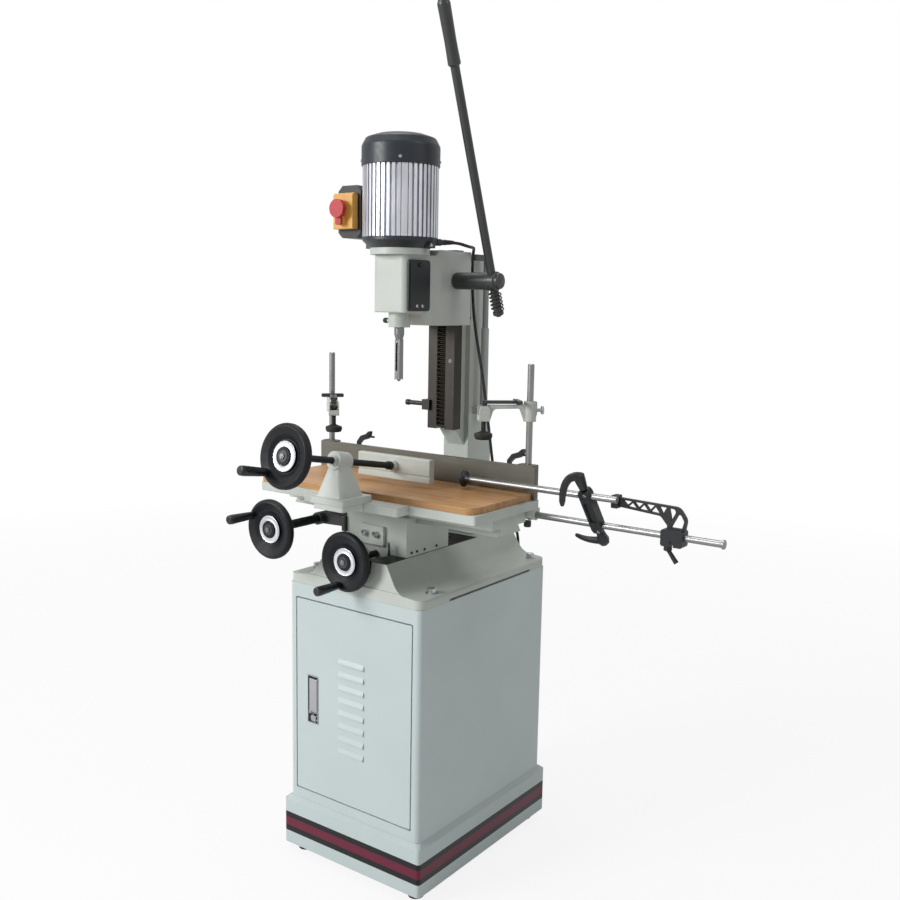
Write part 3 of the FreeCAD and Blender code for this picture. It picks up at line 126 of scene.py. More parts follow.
class Finish:
    """One procedural material, with short calls that add its nodes."""

    def __init__(self, name, colour, roughness, metallic=0.0):
        self.material = bpy.data.materials.new(name)
        self.material.use_nodes = True
        self.tree = self.material.node_tree
        self.shader = self.tree.nodes["Principled BSDF"]
        self.put("Base Color", colour)
        self.put("Roughness", roughness)
        self.put("Metallic", metallic)
        self.places = self.add("ShaderNodeTexCoord").outputs["Object"]
        self.normal = None

    def add(self, kind, **settings):
        """A node of one kind with its properties set."""
        item = self.tree.nodes.new(kind)
        for name, value in settings.items():
            setattr(item, name, value)
        return item

    def join(self, source, target):
        self.tree.links.new(source, target)

    def put(self, name, value):
        """A constant on the shader's own socket."""
        self.shader.inputs[name].default_value = value

    def stretched(self, stretch):
        """Object coordinates scaled along each axis."""
        mapping = self.add("ShaderNodeMapping")
        mapping.inputs["Scale"].default_value = stretch
        self.join(self.places, mapping.inputs["Vector"])
        return mapping.outputs["Vector"]

    def noise(self, scale, detail=2.0, stretch=(1, 1, 1), rough=0.5):
        """Cloudy noise; scale is in features per metre."""
        item = self.add("ShaderNodeTexNoise")
        item.inputs["Scale"].default_value = scale
        item.inputs["Detail"].default_value = detail
        item.inputs["Roughness"].default_value = rough
        self.join(self.stretched(stretch), item.inputs["Vector"])
        return item.outputs["Fac"]

    def cells(self, scale):
        """Distance to the nearest point of a scattered set."""
        item = self.add("ShaderNodeTexVoronoi")
        item.inputs["Scale"].default_value = scale
        self.join(self.places, item.inputs["Vector"])
        return item.outputs["Distance"]

    def spread(self, value, low, high, from_low=0.3, from_high=0.7):
        """Maps a value onto another range."""
        item = self.add("ShaderNodeMapRange")
        item.inputs["From Min"].default_value = from_low
        item.inputs["From Max"].default_value = from_high
        item.inputs["To Min"].default_value = low
        item.inputs["To Max"].default_value = high
        self.join(value, item.inputs["Value"])
        return item.outputs["Result"]

    def ramp(self, value, stops, mode="LINEAR"):
        """Colours along a value; stops are (place, colour)."""
        item = self.add("ShaderNodeValToRGB")
        item.color_ramp.interpolation = mode
        elements = item.color_ramp.elements
        while len(elements) < len(stops):
            elements.new(1.0)
        for element, (place, colour) in zip(elements, stops):
            element.position = place
            element.color = colour
        self.join(value, item.inputs["Fac"])
        return item.outputs["Color"]

    def mix(self, share, first, second, kind="MIX"):
        """Two colours mixed by a value; each may be a socket or a colour."""
        item = self.add("ShaderNodeMix", data_type="RGBA", blend_type=kind)
        for socket, value in ((item.inputs["Factor"], share), (item.inputs[6], first),
                              (item.inputs[7], second)):
            if isinstance(value, bpy.types.NodeSocket):
                self.join(value, socket)
            else:
                socket.default_value = value
        return item.outputs[2]

    def both(self, operation, first, second):
        """Two values put together; the second alone where there is no first."""
        return second if first is None else math_node(self.tree, operation, first, second)

    def axes(self):
        """The place's three coordinates, in metres."""
        item = self.add("ShaderNodeSeparateXYZ")
        self.join(self.places, item.inputs["Vector"])
        return item.outputs

    def below(self, axis, edge):
        """1 on the low side of a plane across one axis, else 0."""
        return math_node(self.tree, "LESS_THAN", self.axes()[axis], edge * MM)

    def inside(self, boxes):
        """1 inside any of some boxes; each is its lowest and highest corner."""
        axes = self.axes()
        total = None
        for low, high in boxes:
            share = None
            for axis, bottom, top in zip(axes, low, high):
                near = self.add("ShaderNodeMath", operation="COMPARE")
                near.inputs[1].default_value = (bottom + top) / 2 * MM
                near.inputs[2].default_value = (top - bottom) / 2 * MM
                self.join(axis, near.inputs[0])
                share = self.both("MULTIPLY", share, near.outputs["Value"])
            total = self.both("MAXIMUM", total, share)
        return total

    def colour(self, source):
        self.join(source, self.shader.inputs["Base Color"])
        return self

    def overlay(self, share, colour):
        """Another colour over the one already there, by a share."""
        base = self.shader.inputs["Base Color"].links[0].from_socket
        return self.colour(self.mix(share, base, colour))

    def rough(self, value, low, high):
        """Roughness that wanders between two values."""
        self.join(self.spread(value, low, high), self.shader.inputs["Roughness"])

    def soft_edges(self, radius):
        """Normals that turn over an edge, as paint and wear round it; radius is in metres."""
        item = self.add("ShaderNodeBevel", samples=4)
        item.inputs["Radius"].default_value = radius
        self.normal = item.outputs["Normal"]
        self.join(self.normal, self.shader.inputs["Normal"])

    def bump(self, height, distance, strength=1.0):
        """Relief from a value, over the relief already there; distance is in metres."""
        item = self.add("ShaderNodeBump")
        item.inputs["Distance"].default_value = distance
        item.inputs["Strength"].default_value = strength
        self.join(height, item.inputs["Height"])
        if self.normal is not None:
            self.join(self.normal, item.inputs["Normal"])
        self.normal = item.outputs["Normal"]
        self.join(self.normal, self.shader.inputs["Normal"])


# ------------------------------------------------------------------ finishes

SHELL_PAINT = srgb(194, 206, 206)
CASTING_PAINT = srgb(198, 204, 197)


def sheet_enamel(name, colour):
    """Enamel on sheet steel: smooth, with a faint orange peel."""
    paint = Finish(name, colour, 0.36)
    cloud = paint.noise(5, 3)
    paint.colour(paint.mix(paint.spread(cloud, 0, 1), darker(colour, 0.955), colour))
    paint.rough(paint.noise(14, 3), 0.31, 0.42)
    paint.put("Coat Weight", 0.18)
    paint.put("Coat Roughness", 0.2)
    paint.soft_edges(0.0012)
    paint.bump(paint.noise(420, 1), 0.0004, 0.10)
    paint.bump(paint.noise(9, 1), 0.004, 0.10)
    return paint


def cast_enamel(name, colour):
    """Thick enamel over a filled casting: softer edges and a wavier skin."""
    paint = Finish(name, colour, 0.4)
    cloud = paint.noise(11, 4)
    low = paint.mix(paint.spread(cloud, 0, 1), darker(colour, 0.9), colour)
    specks = paint.spread(paint.cells(260), 1, 0, 0.02, 0.12)
    paint.colour(paint.mix(specks, low, darker(colour, 0.86)))
    paint.rough(paint.noise(30, 3), 0.34, 0.5)
    paint.put("Coat Weight", 0.12)
    paint.put("Coat Roughness", 0.25)
    paint.soft_edges(0.0022)
    paint.bump(paint.noise(70, 3), 0.0016, 0.16)
    paint.bump(paint.noise(600, 2), 0.0003, 0.12)
    return paint


STRIPE_BLACK = srgb(8, 8, 11)
STRIPE_RED = srgb(104, 14, 48)
STRIPE_EDGES = (48.6, 62.0, 82.6, 96.0)
STRIPE_REACH = 200.0
NONE, ALL = (0, 0, 0, 1), (1, 1, 1, 1)


def plinth_enamel(name):
    """The shell's enamel with a black, red and black band round the plinth."""
    paint = sheet_enamel(name, SHELL_PAINT)
    height = paint.spread(paint.axes()["Z"], 0, 1, 0, STRIPE_REACH * MM)
    bottom, red_low, red_high, top = [edge / STRIPE_REACH for edge in STRIPE_EDGES]
    band = paint.ramp(height, [(0, NONE), (bottom, ALL), (top, NONE)], "CONSTANT")
    tape = paint.ramp(height, [(0, STRIPE_BLACK), (red_low, STRIPE_RED),
                               (red_high, STRIPE_BLACK)], "CONSTANT")
    paint.overlay(band, tape)
    paint.put("Coat Weight", 0.04)
    paint.put("Specular IOR Level", 0.35)
    return paint


def black_enamel(name, colour, roughness=0.32, coat=0.25):
    """Black enamel or oxide on turned and cast iron."""
    paint = Finish(name, colour, roughness)
    cloud = paint.noise(25, 3)
    paint.colour(paint.mix(paint.spread(cloud, 0, 1), darker(colour, 0.75), colour))
    paint.rough(paint.noise(60, 2), roughness - 0.06, roughness + 0.10)
    paint.put("Coat Weight", coat)
    paint.put("Coat Roughness", 0.22)
    paint.soft_edges(0.0010)
    paint.bump(paint.noise(700, 2), 0.0002, 0.15)
    return paint


def wheel_enamel(name):
    """Deep black enamel of the hand wheels, hardly shining."""
    paint = black_enamel(name, srgb(12, 15, 21), 0.5, 0.0)
    paint.put("Specular IOR Level", 0.3)
    return paint


def moulded(name, colour, roughness=0.45, grain=900):
    """Moulded plastic with a fine spark-eroded grain."""
    plastic = Finish(name, colour, roughness)
    cloud = plastic.noise(40, 2)
    plastic.colour(plastic.mix(plastic.spread(cloud, 0, 1), darker(colour, 0.88), colour))
    plastic.rough(plastic.noise(90, 2), roughness - 0.05, roughness + 0.07)
    plastic.put("Specular IOR Level", 0.45)
    plastic.soft_edges(0.0006)
    plastic.bump(plastic.noise(grain, 2), 0.0002, 0.25)
    return plastic


FLAP_YELLOW, FLAP_RED = srgb(222, 168, 84), srgb(186, 40, 46)
FLAP_FRONT = -155.5


def flap_plastic(name):
    """Yellow flap whose round paddle, in front of a plane, is red."""
    plastic = moulded(name, FLAP_YELLOW, 0.34)
    worn = plastic.spread(plastic.noise(60, 3), 0, 1)
    pale = plastic.mix(worn, darker(FLAP_YELLOW, 0.88), FLAP_YELLOW)
    bright = plastic.mix(worn, darker(FLAP_RED, 0.85), FLAP_RED)
    plastic.colour(plastic.mix(plastic.below("Y", FLAP_FRONT), pale, bright))
    return plastic


DUST = srgb(70, 70, 68)


def rubber(name, colour, roughness=0.7):
    """Dull rubber with a dusty bloom."""
    skin = Finish(name, colour, roughness)
    bloom = skin.noise(55, 4)
    skin.colour(skin.mix(skin.spread(bloom, 0, 0.6), colour, DUST))
    skin.rough(skin.noise(120, 2), roughness - 0.1, roughness + 0.1)
    skin.put("Specular IOR Level", 0.3)
    skin.bump(skin.noise(1100, 1), 0.0002, 0.3)
    return skin


def ground_metal(name, colour, roughness, stretch):
    """Ground or brushed metal; stretch sets which way its fine lines run."""
    metal = Finish(name, colour, roughness, 1.0)
    lines = metal.noise(900, 3, stretch, 0.7)
    stain = metal.noise(16, 4)
    toned = metal.mix(metal.spread(lines, 0, 1), darker(colour, 0.78), colour)
    metal.colour(metal.mix(metal.spread(stain, 0, 0.35), toned, darker(colour, 0.6)))
    metal.rough(lines, roughness - 0.08, roughness + 0.12)
    metal.soft_edges(0.0006)
    metal.bump(lines, 0.00012, 0.5)
    return metal


def bright_metal(name, colour, roughness):
    """Polished or plated metal, nearly clean, with a faint haze."""
    metal = Finish(name, colour, roughness, 1.0)
    haze = metal.noise(18, 4)
    metal.colour(metal.mix(metal.spread(haze, 0, 1), darker(colour, 0.86), colour))
    metal.rough(metal.noise(12, 1), roughness * 0.95, roughness * 1.1)
    return metal


# Painted highlight: a bright strip of colour on the groove's left wall, standing for the light
# that falls on it.
GROOVE_WALL_HIGHLIGHT = srgb(214, 213, 208)
GROOVE_WALL = [((-12.8, 63.0, 900), (-11.6, 90, 1391))]


def way_iron(name):
    """Ground iron; the groove's left wall carries a painted highlight, a bright strip of colour.
    """
    metal = ground_metal(name, srgb(74, 71, 68), 0.42, (1, 1, 0.03))
    return metal.overlay(metal.inside(GROOVE_WALL), GROOVE_WALL_HIGHLIGHT)


def fence_steel(name):
    """Ground plate with a thin oil film that dulls it."""
    metal = ground_metal(name, srgb(118, 117, 108), 0.46, (0.03, 1, 1))
    metal.put("Metallic", 0.55)
    return metal


# Bare iron with painted shade: nearly black, darker than the iron itself, for the table's shadow
# on the ridge and the dark in its groove.
BARE_IRON_AND_SHADE = srgb(4, 5, 4)
RIDGE_WAYS = [((-92, -262, 730.2), (92, 100, 740)), ((-46, -262, 703.6), (46, 62, 731))]


def base_enamel(name):
    """The castings' enamel; the ways on the ridge that carries the saddle, and its groove, are
    nearly black: bare iron with painted shade.
    """
    paint = cast_enamel(name, CASTING_PAINT)
    paint.put("Coat Weight", 0.0)
    paint.put("Specular IOR Level", 0.3)
    return paint.overlay(paint.inside(RIDGE_WAYS), BARE_IRON_AND_SHADE)


# Darker grey in a box round the strut's upper end.
STRUT_TOP_DARK = srgb(58, 62, 58)
STRUT_LUG = [((50, 90, 1377), (72, 170, 1393))]


def strut_enamel(name):
    """Grey cylinder, darker grey in a box round the lug at its upper end."""
    paint = sheet_enamel(name, srgb(150, 154, 154))
    return paint.overlay(paint.inside(STRUT_LUG), STRUT_TOP_DARK)


ROD_PLATE, ROD_ROUGHNESS = srgb(150, 150, 150), 0.34
PAD_BLACK = srgb(24, 24, 26)
PAD_EDGE = 182.5


def padded_rod(name):
    """Plated rod whose inner end carries a black pad."""
    metal = bright_metal(name, ROD_PLATE, ROD_ROUGHNESS)
    pad = metal.below("X", PAD_EDGE)
    metal.overlay(pad, PAD_BLACK)
    metal.join(metal.spread(pad, 1, 0, 0, 1), metal.shader.inputs["Metallic"])
    return metal


WOOD_LIGHT, WOOD_MID, WOOD_DARK = srgb(214, 168, 116), srgb(196, 148, 94), srgb(158, 112, 68)
STAVE_PALE, STAVE_DEEP = srgb(255, 255, 255), srgb(205, 186, 168)
STAVE_SETTINGS = {
    "Color1": NONE, "Color2": ALL, "Mortar": (0.1, 0.1, 0.1, 1), "Scale": 1.0,
    "Mortar Size": 0.0002, "Mortar Smooth": 0.6, "Brick Width": 0.21, "Row Height": 0.041,
}


def board_wood(name):
    """Glued-up board of short warm staves, sealed with thin varnish."""
    wood = Finish(name, WOOD_MID, 0.42)
    staves = wood.add("ShaderNodeTexBrick", offset=0.37, offset_frequency=2)
    for setting, value in STAVE_SETTINGS.items():
        staves.inputs[setting].default_value = value
    wood.join(wood.places, staves.inputs["Vector"])
    swirl = wood.noise(9, 3, (0.35, 1, 1))
    fibre = wood.noise(260, 5, (0.05, 1, 1), 0.65)
    grain = wood.noise(60, 4, (0.06, 1.3, 1), 0.6)
    tone = wood.ramp(wood.spread(grain, 0, 1),
                     [(0, WOOD_DARK), (0.45, WOOD_MID), (1, WOOD_LIGHT)])
    tone = wood.mix(wood.spread(swirl, 0, 0.5), tone, WOOD_LIGHT)
    stave = wood.mix(staves.outputs["Color"], STAVE_PALE, STAVE_DEEP)
    tone = wood.mix(0.55, tone, stave, "MULTIPLY")
    tone = wood.mix(wood.spread(fibre, 0.3, 0), tone, darker(WOOD_DARK, 0.8))
    wood.colour(wood.mix(staves.outputs["Fac"], tone, darker(WOOD_DARK, 0.5)))
    wood.rough(fibre, 0.36, 0.52)
    wood.put("Coat Weight", 0.12)
    wood.put("Coat Roughness", 0.3)
    wood.soft_edges(0.0012)
    wood.bump(fibre, 0.0003, 0.3)
    wood.bump(grain, 0.0005, 0.15)
    return wood


FINISHES = {
    "shell": sheet_enamel("shell_enamel", SHELL_PAINT),
    "plinth": plinth_enamel("plinth_enamel"),
    "casting": cast_enamel("casting_enamel", CASTING_PAINT),
    "base": base_enamel("base_enamel"),
    "wheel": wheel_enamel("wheel_enamel"),
    "oxide": black_enamel("black_oxide", srgb(46, 49, 48), 0.4),
    "plastic": moulded("black_plastic", srgb(29, 31, 34), 0.42),
    "cowl": moulded("cowl_plastic", srgb(38, 44, 51), 0.38, 500),
    "grip": moulded("grip_plastic", srgb(26, 27, 31), 0.3),
    "flap": flap_plastic("flap_plastic"),
    "button": moulded("button_green", srgb(30, 130, 60), 0.32),
    "foot": rubber("foot_rubber", srgb(24, 24, 25)),
    "lead": rubber("lead_rubber", srgb(20, 20, 22), 0.5),
    "fence": fence_steel("fence_steel"),
    "way": way_iron("way_iron"),
    "rack": ground_metal("rack_steel", srgb(50, 48, 44), 0.45, (0.1, 1, 1)),
    "rod": bright_metal("plated_rod", ROD_PLATE, ROD_ROUGHNESS),
    "padded_rod": padded_rod("padded_rod"),
    "screw": bright_metal("bright_screw", srgb(186, 187, 190), 0.24),
    "chisel": ground_metal("chisel_steel", srgb(146, 148, 150), 0.3, (1, 1, 0.04)),
    "motor": ground_metal("motor_aluminium", srgb(232, 234, 240), 0.4, (1, 1, 0.03)),
    "dial": ground_metal("dial_aluminium", srgb(232, 234, 240), 0.42, (1, 1, 1)),
    "board": board_wood("board_wood"),
    "strut": strut_enamel("strut_enamel"),
    "sleeve": sheet_enamel("sleeve_enamel", srgb(176, 180, 178)),
}

NODE_FINISH = {
    "shell": ["cabinet_shell", "door_panel"],
    "plinth": ["cabinet_plinth"],
    "base": ["base_casting"],
    "casting": ["saddle", "table_casting", "vice_bracket", "vice_jaw",
                "hold_arm_left", "hold_arm_right", "column", "head_casting"],
    "wheel": ["y_handwheel", "x_handwheel", "vice_handwheel"],
    "oxide": ["x_bearing", "feed_hub", "feed_lever", "hold_cam_left",
              "hold_cam_right", "lever_spring"],
    "plastic": ["chuck_cover", "switch_box", "stop_link", "stop_lever_top", "stop_lever_low",
                "truss_arm", "truss_lever", "fence_lock_left", "fence_lock_right", "cord_plug"],
    "cowl": ["fan_cover", "motor_flange"],
    "grip": ["y_handle", "x_handle", "vice_handle"],
    "flap": ["switch_flap"],
    "button": ["start_button"],
    "foot": ["cabinet_feet", "hold_foot_left", "hold_foot_right"],
    "lead": ["power_cord", "cord_coil"],
    "fence": ["fence"],
    "way": ["column_way", "depth_stop"],
    "rack": ["feed_rack", "feed_pinion"],
    "rod": ["hold_post_left", "hold_post_right", "stop_rod_lower", "strut_rod"],
    "padded_rod": ["stop_rod_upper"],
    "screw": ["door_latch", "latch_paddle"],
    "strut": ["strut_tube"],
    "chisel": ["chisel", "spindle_auger"],
    "motor": ["motor_body"],
    "board": ["table_board"],
}


def dress(item, finish):
    """Gives an object one finish in every material slot."""
    material = FINISHES[finish].material
    if not item.material_slots:
        item.data.materials.append(material)
    for slot in item.material_slots:
        slot.material = material


def dress_nodes():
    """Gives each carried-over CAD node its finish."""
    for finish, names in NODE_FINISH.items():
        for name in names:
            dress(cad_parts[name], finish)


# ------------------------------------------------------------------ mesh helpers

SHARP = math.radians(32)
TURNED_STEPS = 40
ROUND_STEPS = 64
DISC_STEPS = 48
SCREW_STEPS = 24
SMALL_STEPS = 20


def at(place, axis=UP, spin=0.0):
    """Matrix that stands a piece at a point, along an axis."""
    lean = Vector(UP).rotation_difference(Vector(axis)).to_matrix().to_4x4()
    return Matrix.Translation(Vector(place)) @ lean @ Matrix.Rotation(spin, 4, "Z")


def add_turned(shape, profile, matrix, steps=TURNED_STEPS):
    """A turned form in a bmesh from (radius, height) points."""
    rings = []
    for radius, height in profile:
        if radius == 0:
            rings.append([shape.verts.new(matrix @ mm(0, 0, height))])
            continue
        ring = []
        for step in range(steps):
            angle = 2 * math.pi * step / steps
            point = mm(radius * math.cos(angle), radius * math.sin(angle), height)
            ring.append(shape.verts.new(matrix @ point))
        rings.append(ring)
    for low, high in zip(rings, rings[1:]):
        for step in range(steps):
            ahead = (step + 1) % steps
            corners = [low[step % len(low)], low[ahead % len(low)], high[ahead % len(high)],
                       high[step % len(high)]]
            shape.faces.new(list(dict.fromkeys(corners)))


def join_rings(shape, lower, upper):
    """Faces between two rings with the same number of points."""
    for step in range(len(lower)):
        ahead = (step + 1) % len(lower)
        shape.faces.new([lower[step], lower[ahead], upper[ahead], upper[step]])


def add_prism(shape, outline, low, high, matrix, chamfer=0.0):
    """A prism on an outline, its top edge chamfered."""
    centre = sum((Vector(point) for point in outline), Vector((0, 0))) / len(outline)
    levels = [(low, 0.0), (high - chamfer, 0.0)]
    if chamfer:
        levels.append((high, chamfer))
    rings = []
    for height, inset in levels:
        ring = []
        for point in outline:
            outward = Vector(point) - centre
            moved = centre + outward * (1 - inset / outward.length)
            ring.append(shape.verts.new(matrix @ mm(moved.x, moved.y, height)))
        rings.append(ring)
    for lower, upper in zip(rings, rings[1:]):
        join_rings(shape, lower, upper)
    shape.faces.new(rings[0][::-1])
    shape.faces.new(rings[-1])


SWEPT_STEPS = 10


def add_swept(shape, path, radii, matrix, flat=1.0):
    """A curved bar whose thickness follows its path.

    The path lies in one plane; flat is the share of its thickness across that plane.
    """
    points = [Vector(point) for point in path]
    normal = (points[1] - points[0]).cross(points[-1] - points[0]).normalized()
    rings = []
    for index, (point, radius) in enumerate(zip(points, radii)):
        ahead = points[min(index + 1, len(points) - 1)] - points[max(index - 1, 0)]
        across = normal.cross(ahead).normalized()
        ring = []
        for step in range(SWEPT_STEPS):
            angle = 2 * math.pi * (step + 0.5) / SWEPT_STEPS
            offset = across * (radius * math.cos(angle)) + normal * (
                radius * flat * math.sin(angle))
            ring.append(shape.verts.new(matrix @ mm(*(point + offset))))
        rings.append(ring)
    for lower, upper in zip(rings, rings[1:]):
        join_rings(shape, lower, upper)
    shape.faces.new(rings[0][::-1])
    shape.faces.new(rings[-1])


CURVE_STEPS = 14


def smooth_path(corners):
    """Points on the one smooth curve that a lever's corners steer."""
    curve = []
    for step in range(CURVE_STEPS + 1):
        share = step / CURVE_STEPS
        row = [Vector(corner) for corner in corners]
        while len(row) > 1:
            row = [a.lerp(b, share) for a, b in zip(row, row[1:])]
        curve.append(row[0])
    return curve


def tapered(start, end, tip=0.62):
    """Radii that shrink evenly and round off at the last point."""
    radii = [start + (end - start) * step / CURVE_STEPS for step in range(CURVE_STEPS + 1)]
    radii[-1] = end * tip
    return radii


def piece(name, finish, body, slot, build, *parts):
    """One object made of one or several like forms, dressed and put on its body."""
    shape = bmesh.new()
    for part in parts:
        build(shape, *part)
    bmesh.ops.recalc_face_normals(shape, faces=shape.faces)
    data = bpy.data.meshes.new(name)
    shape.to_mesh(data)
    shape.free()
    data.shade_smooth()
    data.set_sharp_from_angle(angle=SHARP)
    item = bpy.data.objects.new(name, data)
    bpy.context.scene.collection.objects.link(item)
    dress(item, finish)
    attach(item, body)
    return item


# ------------------------------------------------------------------ screw heads

def hexagon(flats):
    """Corners of a hexagon by its width across flats."""
    reach = flats / 2 / math.cos(math.pi / 6)
    return [(reach * math.cos(math.pi * step / 3), reach * math.sin(math.pi * step / 3))
            for step in range(6)]


def hex_head(shape, matrix, flats, height, washer):
    """Hexagon head with a chamfered, domed top on a washer of a given radius."""
    add_turned(shape, [(0, 0), (washer, 0), (washer + 0.4, 0.4), (washer + 0.4, 1.6),
                       (washer, 2), (0, 2)], matrix)
    add_prism(shape, hexagon(flats), 2, height - 0.8, matrix)
    add_turned(shape, [(0, height - 1), (flats * 0.53, height - 1), (flats * 0.46, height),
                       (0, height + 0.2)], matrix, SCREW_STEPS)


def socket_head(shape, matrix, radius, height):
    """Cap screw head with a sunk round socket."""
    add_turned(shape, [(0, 0), (radius, 0), (radius, height - 0.8), (radius - 0.8, height),
                       (radius * 0.55, height), (radius * 0.5, height - 0.4),
                       (radius * 0.5, height * 0.4), (0, height * 0.4)], matrix, SCREW_STEPS)


def pan_head(shape, matrix, radius, height):
    """Domed screw head with a sunk middle."""
    add_turned(shape, [(0, 0), (radius, 0), (radius, height * 0.3), (radius * 0.8, height * 0.75),
                       (radius * 0.35, height), (radius * 0.28, height * 0.55),
                       (0, height * 0.5)], matrix, SMALL_STEPS)


# ------------------------------------------------------------------ hand wheels

VICE_TILT = math.radians(10)
# name, body, the point on the axis that heights are counted from, and the way that it faces
WHEELS = [
    ("y", "y_screw", mm(0, -268, 729), FRONT),
    ("x", "x_shaft", mm(-160, -332, 788), FRONT),
    ("vice", "vice_screw", mm(18, -462, 981), (0, -math.cos(VICE_TILT), math.sin(VICE_TILT))),
]
DIAL_RING = [(18.7, 3.9), (30.2, 3.9), (30.2, 4.5), (29.4, 4.9), (28.9, 4.6), (20.0, 4.6),
             (19.5, 4.9), (18.7, 4.5), (18.7, 3.9)]
DIAL_TICKS = 40
TICKS_PER_LONG = 5
LONG_TICK, SHORT_TICK = 3.2, 1.7
TICK_OUTER, TICK_HALF_WIDTH = 28.4, 0.22
TICK_HEIGHTS = (4.5, 4.72)
HUB_DISC = [(0, 7.6), (12.5, 7.6), (12.5, 8.6), (11.8, 9.2), (9.8, 9.2), (0, 9.2)]
HUB_NUT_FLATS = 11
HUB_NUT_HEIGHTS = (9.0, 11.6)
HUB_NUT_CHAMFER = 0.6
SCREW_END = [(0, 11.4), (3.0, 11.4), (3.0, 12.6), (2.4, 13.0), (0, 13.0)]


def dial_tick(shape, matrix, length):
    """One raised line at the dial's rim."""
    inner = TICK_OUTER - length
    outline = [(-TICK_HALF_WIDTH, inner), (TICK_HALF_WIDTH, inner),
               (TICK_HALF_WIDTH, TICK_OUTER), (-TICK_HALF_WIDTH, TICK_OUTER)]
    add_prism(shape, outline, *TICK_HEIGHTS, matrix)


def hub_nut(shape, matrix):
    """Nut and screw end in the middle of a wheel."""
    add_prism(shape, hexagon(HUB_NUT_FLATS), *HUB_NUT_HEIGHTS, matrix, HUB_NUT_CHAMFER)
    add_turned(shape, SCREW_END, matrix, SCREW_STEPS)


def dress_wheels():
    """Dial, washer and nut on each hand wheel."""
    for name, body, place, axis in WHEELS:
        flat = at(place, axis)
        piece(name + "_dial", "dial", body, "motor_aluminium", add_turned,
              (DIAL_RING, flat, ROUND_STEPS))
        ticks = []
        for tick in range(DIAL_TICKS):
            turn = Matrix.Rotation(2 * math.pi * tick / DIAL_TICKS, 4, "Z")
            ticks.append((flat @ turn, SHORT_TICK if tick % TICKS_PER_LONG else LONG_TICK))
        piece(name + "_dial_ticks", "oxide", body, "black_steel", dial_tick, *ticks)
        piece(name + "_hub_disc", "oxide", body, "black_steel", add_turned,
              (HUB_DISC, flat, DISC_STEPS))
        piece(name + "_hub_nut", "chisel", body, "bright_steel", hub_nut, (flat,))


# ------------------------------------------------------------------ fasteners

BASE_BOLT_PLACES = [(x, y) for x in (-165, 165) for y in (-180, 215)]
BASE_FLANGE_TOP = 670.4
BASE_BOLT = (17, 12.5, 13)
BASE_BOLT_SPIN = 0.3

SADDLE_PLATE_FRONT, SADDLE_SIDE = -181, 86.0
PLATE_SCREW_X, PLATE_SCREW_Z = (-24, 8), 775
PLATE_SCREW = (6.8, 4.0)
GIB_SCREW_Y, GIB_SCREW_Z = (-150, -131, -104, -60), 740
GIB_SCREW = (3.0, 2.5)

COVER_FACE = 51.0
COVER_SCREW_Y, COVER_SCREW_Z = (-97, -78), 1273
COVER_SCREW = (4.0, 2.4)
COVER_KNOB_PLACE = mm(COVER_FACE, -87, 1361)
COVER_KNOB = (5.2, 5.0)

MOTOR_Y = -94
COWL_RADIUS, COWL_SCREW_Z = 85, 1581
COWL_SCREW = (3.6, 2.0)
MOTOR_TURN = 0.12


def base_bolts():
    """Bolts at the base's corners, through to the cabinet, each turned its own way."""
    heads = [(at(mm(x, y, BASE_FLANGE_TOP), spin=BASE_BOLT_SPIN * x), *BASE_BOLT)
             for x, y in BASE_BOLT_PLACES]
    piece("base_bolts", "screw", "frame", "bright_steel", hex_head, *heads)


def saddle_screws():
    """Screws of the saddle's front plate and its gib screws."""
    front = [(at(mm(x, SADDLE_PLATE_FRONT, PLATE_SCREW_Z), FRONT), *PLATE_SCREW)
             for x in PLATE_SCREW_X]
    piece("saddle_plate_screws", "screw", "saddle", "bright_steel", socket_head, *front)
    gibs = [(at(mm(SADDLE_SIDE, y, GIB_SCREW_Z), RIGHT), *GIB_SCREW) for y in GIB_SCREW_Y]
    piece("saddle_gib_screws", "oxide", "saddle", "black_steel", socket_head, *gibs)


def head_screws():
    """Screws and knob of the chuck cover, and screws of the fan cowl."""
    cover = [(at(mm(COVER_FACE, y, COVER_SCREW_Z), RIGHT), *COVER_SCREW) for y in COVER_SCREW_Y]
    piece("cover_screws", "screw", "head", "bright_steel", pan_head, *cover)
    piece("cover_knob", "plastic", "head", "black_plastic", pan_head,
          (at(COVER_KNOB_PLACE, RIGHT), *COVER_KNOB))
    cowl = []
    for step in range(4):
        angle = math.pi * (step + 0.5) / 2 - MOTOR_TURN
        outward = Vector((math.cos(angle), math.sin(angle), 0))
        place = mm(COWL_RADIUS * outward.x, MOTOR_Y + COWL_RADIUS * outward.y, COWL_SCREW_Z)
        cowl.append((at(place, outward), *COWL_SCREW))
    piece("cowl_screws", "screw", "head", "bright_steel", pan_head, *cowl)


# ------------------------------------------------------------------ clamp levers of the link

# Hubs are (radius, height) along the link's own axis, from its middle; sweeps are corners.
LINK_MIDDLE = mm(465, -39.8, 869)
LINK_SLANT = math.atan2(52.4, 68)
LEVER_FLAT = 0.8
HUB_FACETS = 8
TOP_HUB = [(0, 61.4), (5, 61.4), (5, 64), (9, 66), (9.5, 72), (11.5, 90), (11, 98), (8, 103),
           (0, 104)]
TOP_AWAY = (-0.69, -0.73)
TOP_SWEEP = [(TOP_AWAY[0] * reach, TOP_AWAY[1] * reach, height)
             for reach, height in ((-4, 92), (19, 120), (38, 96), (52, 47))]
TOP_RADII = (11, 6.2)
LOW_HUB = [(0, -61.4), (5, -61.4), (5, -64), (9, -66), (10, -74), (13, -88), (12, -96),
           (8, -101), (0, -102)]
LOW_SWEEP = [(5, 0, -90), (-30, -3, -96), (-48, -4, -92), (-61, -5, -80)]
LOW_RADII = (10, 4.6)
LINK_SCREW_PLACES = [(3, -9.4, 53), (3, -9.4, -54)]
LINK_SCREW = (3.6, 2.6)


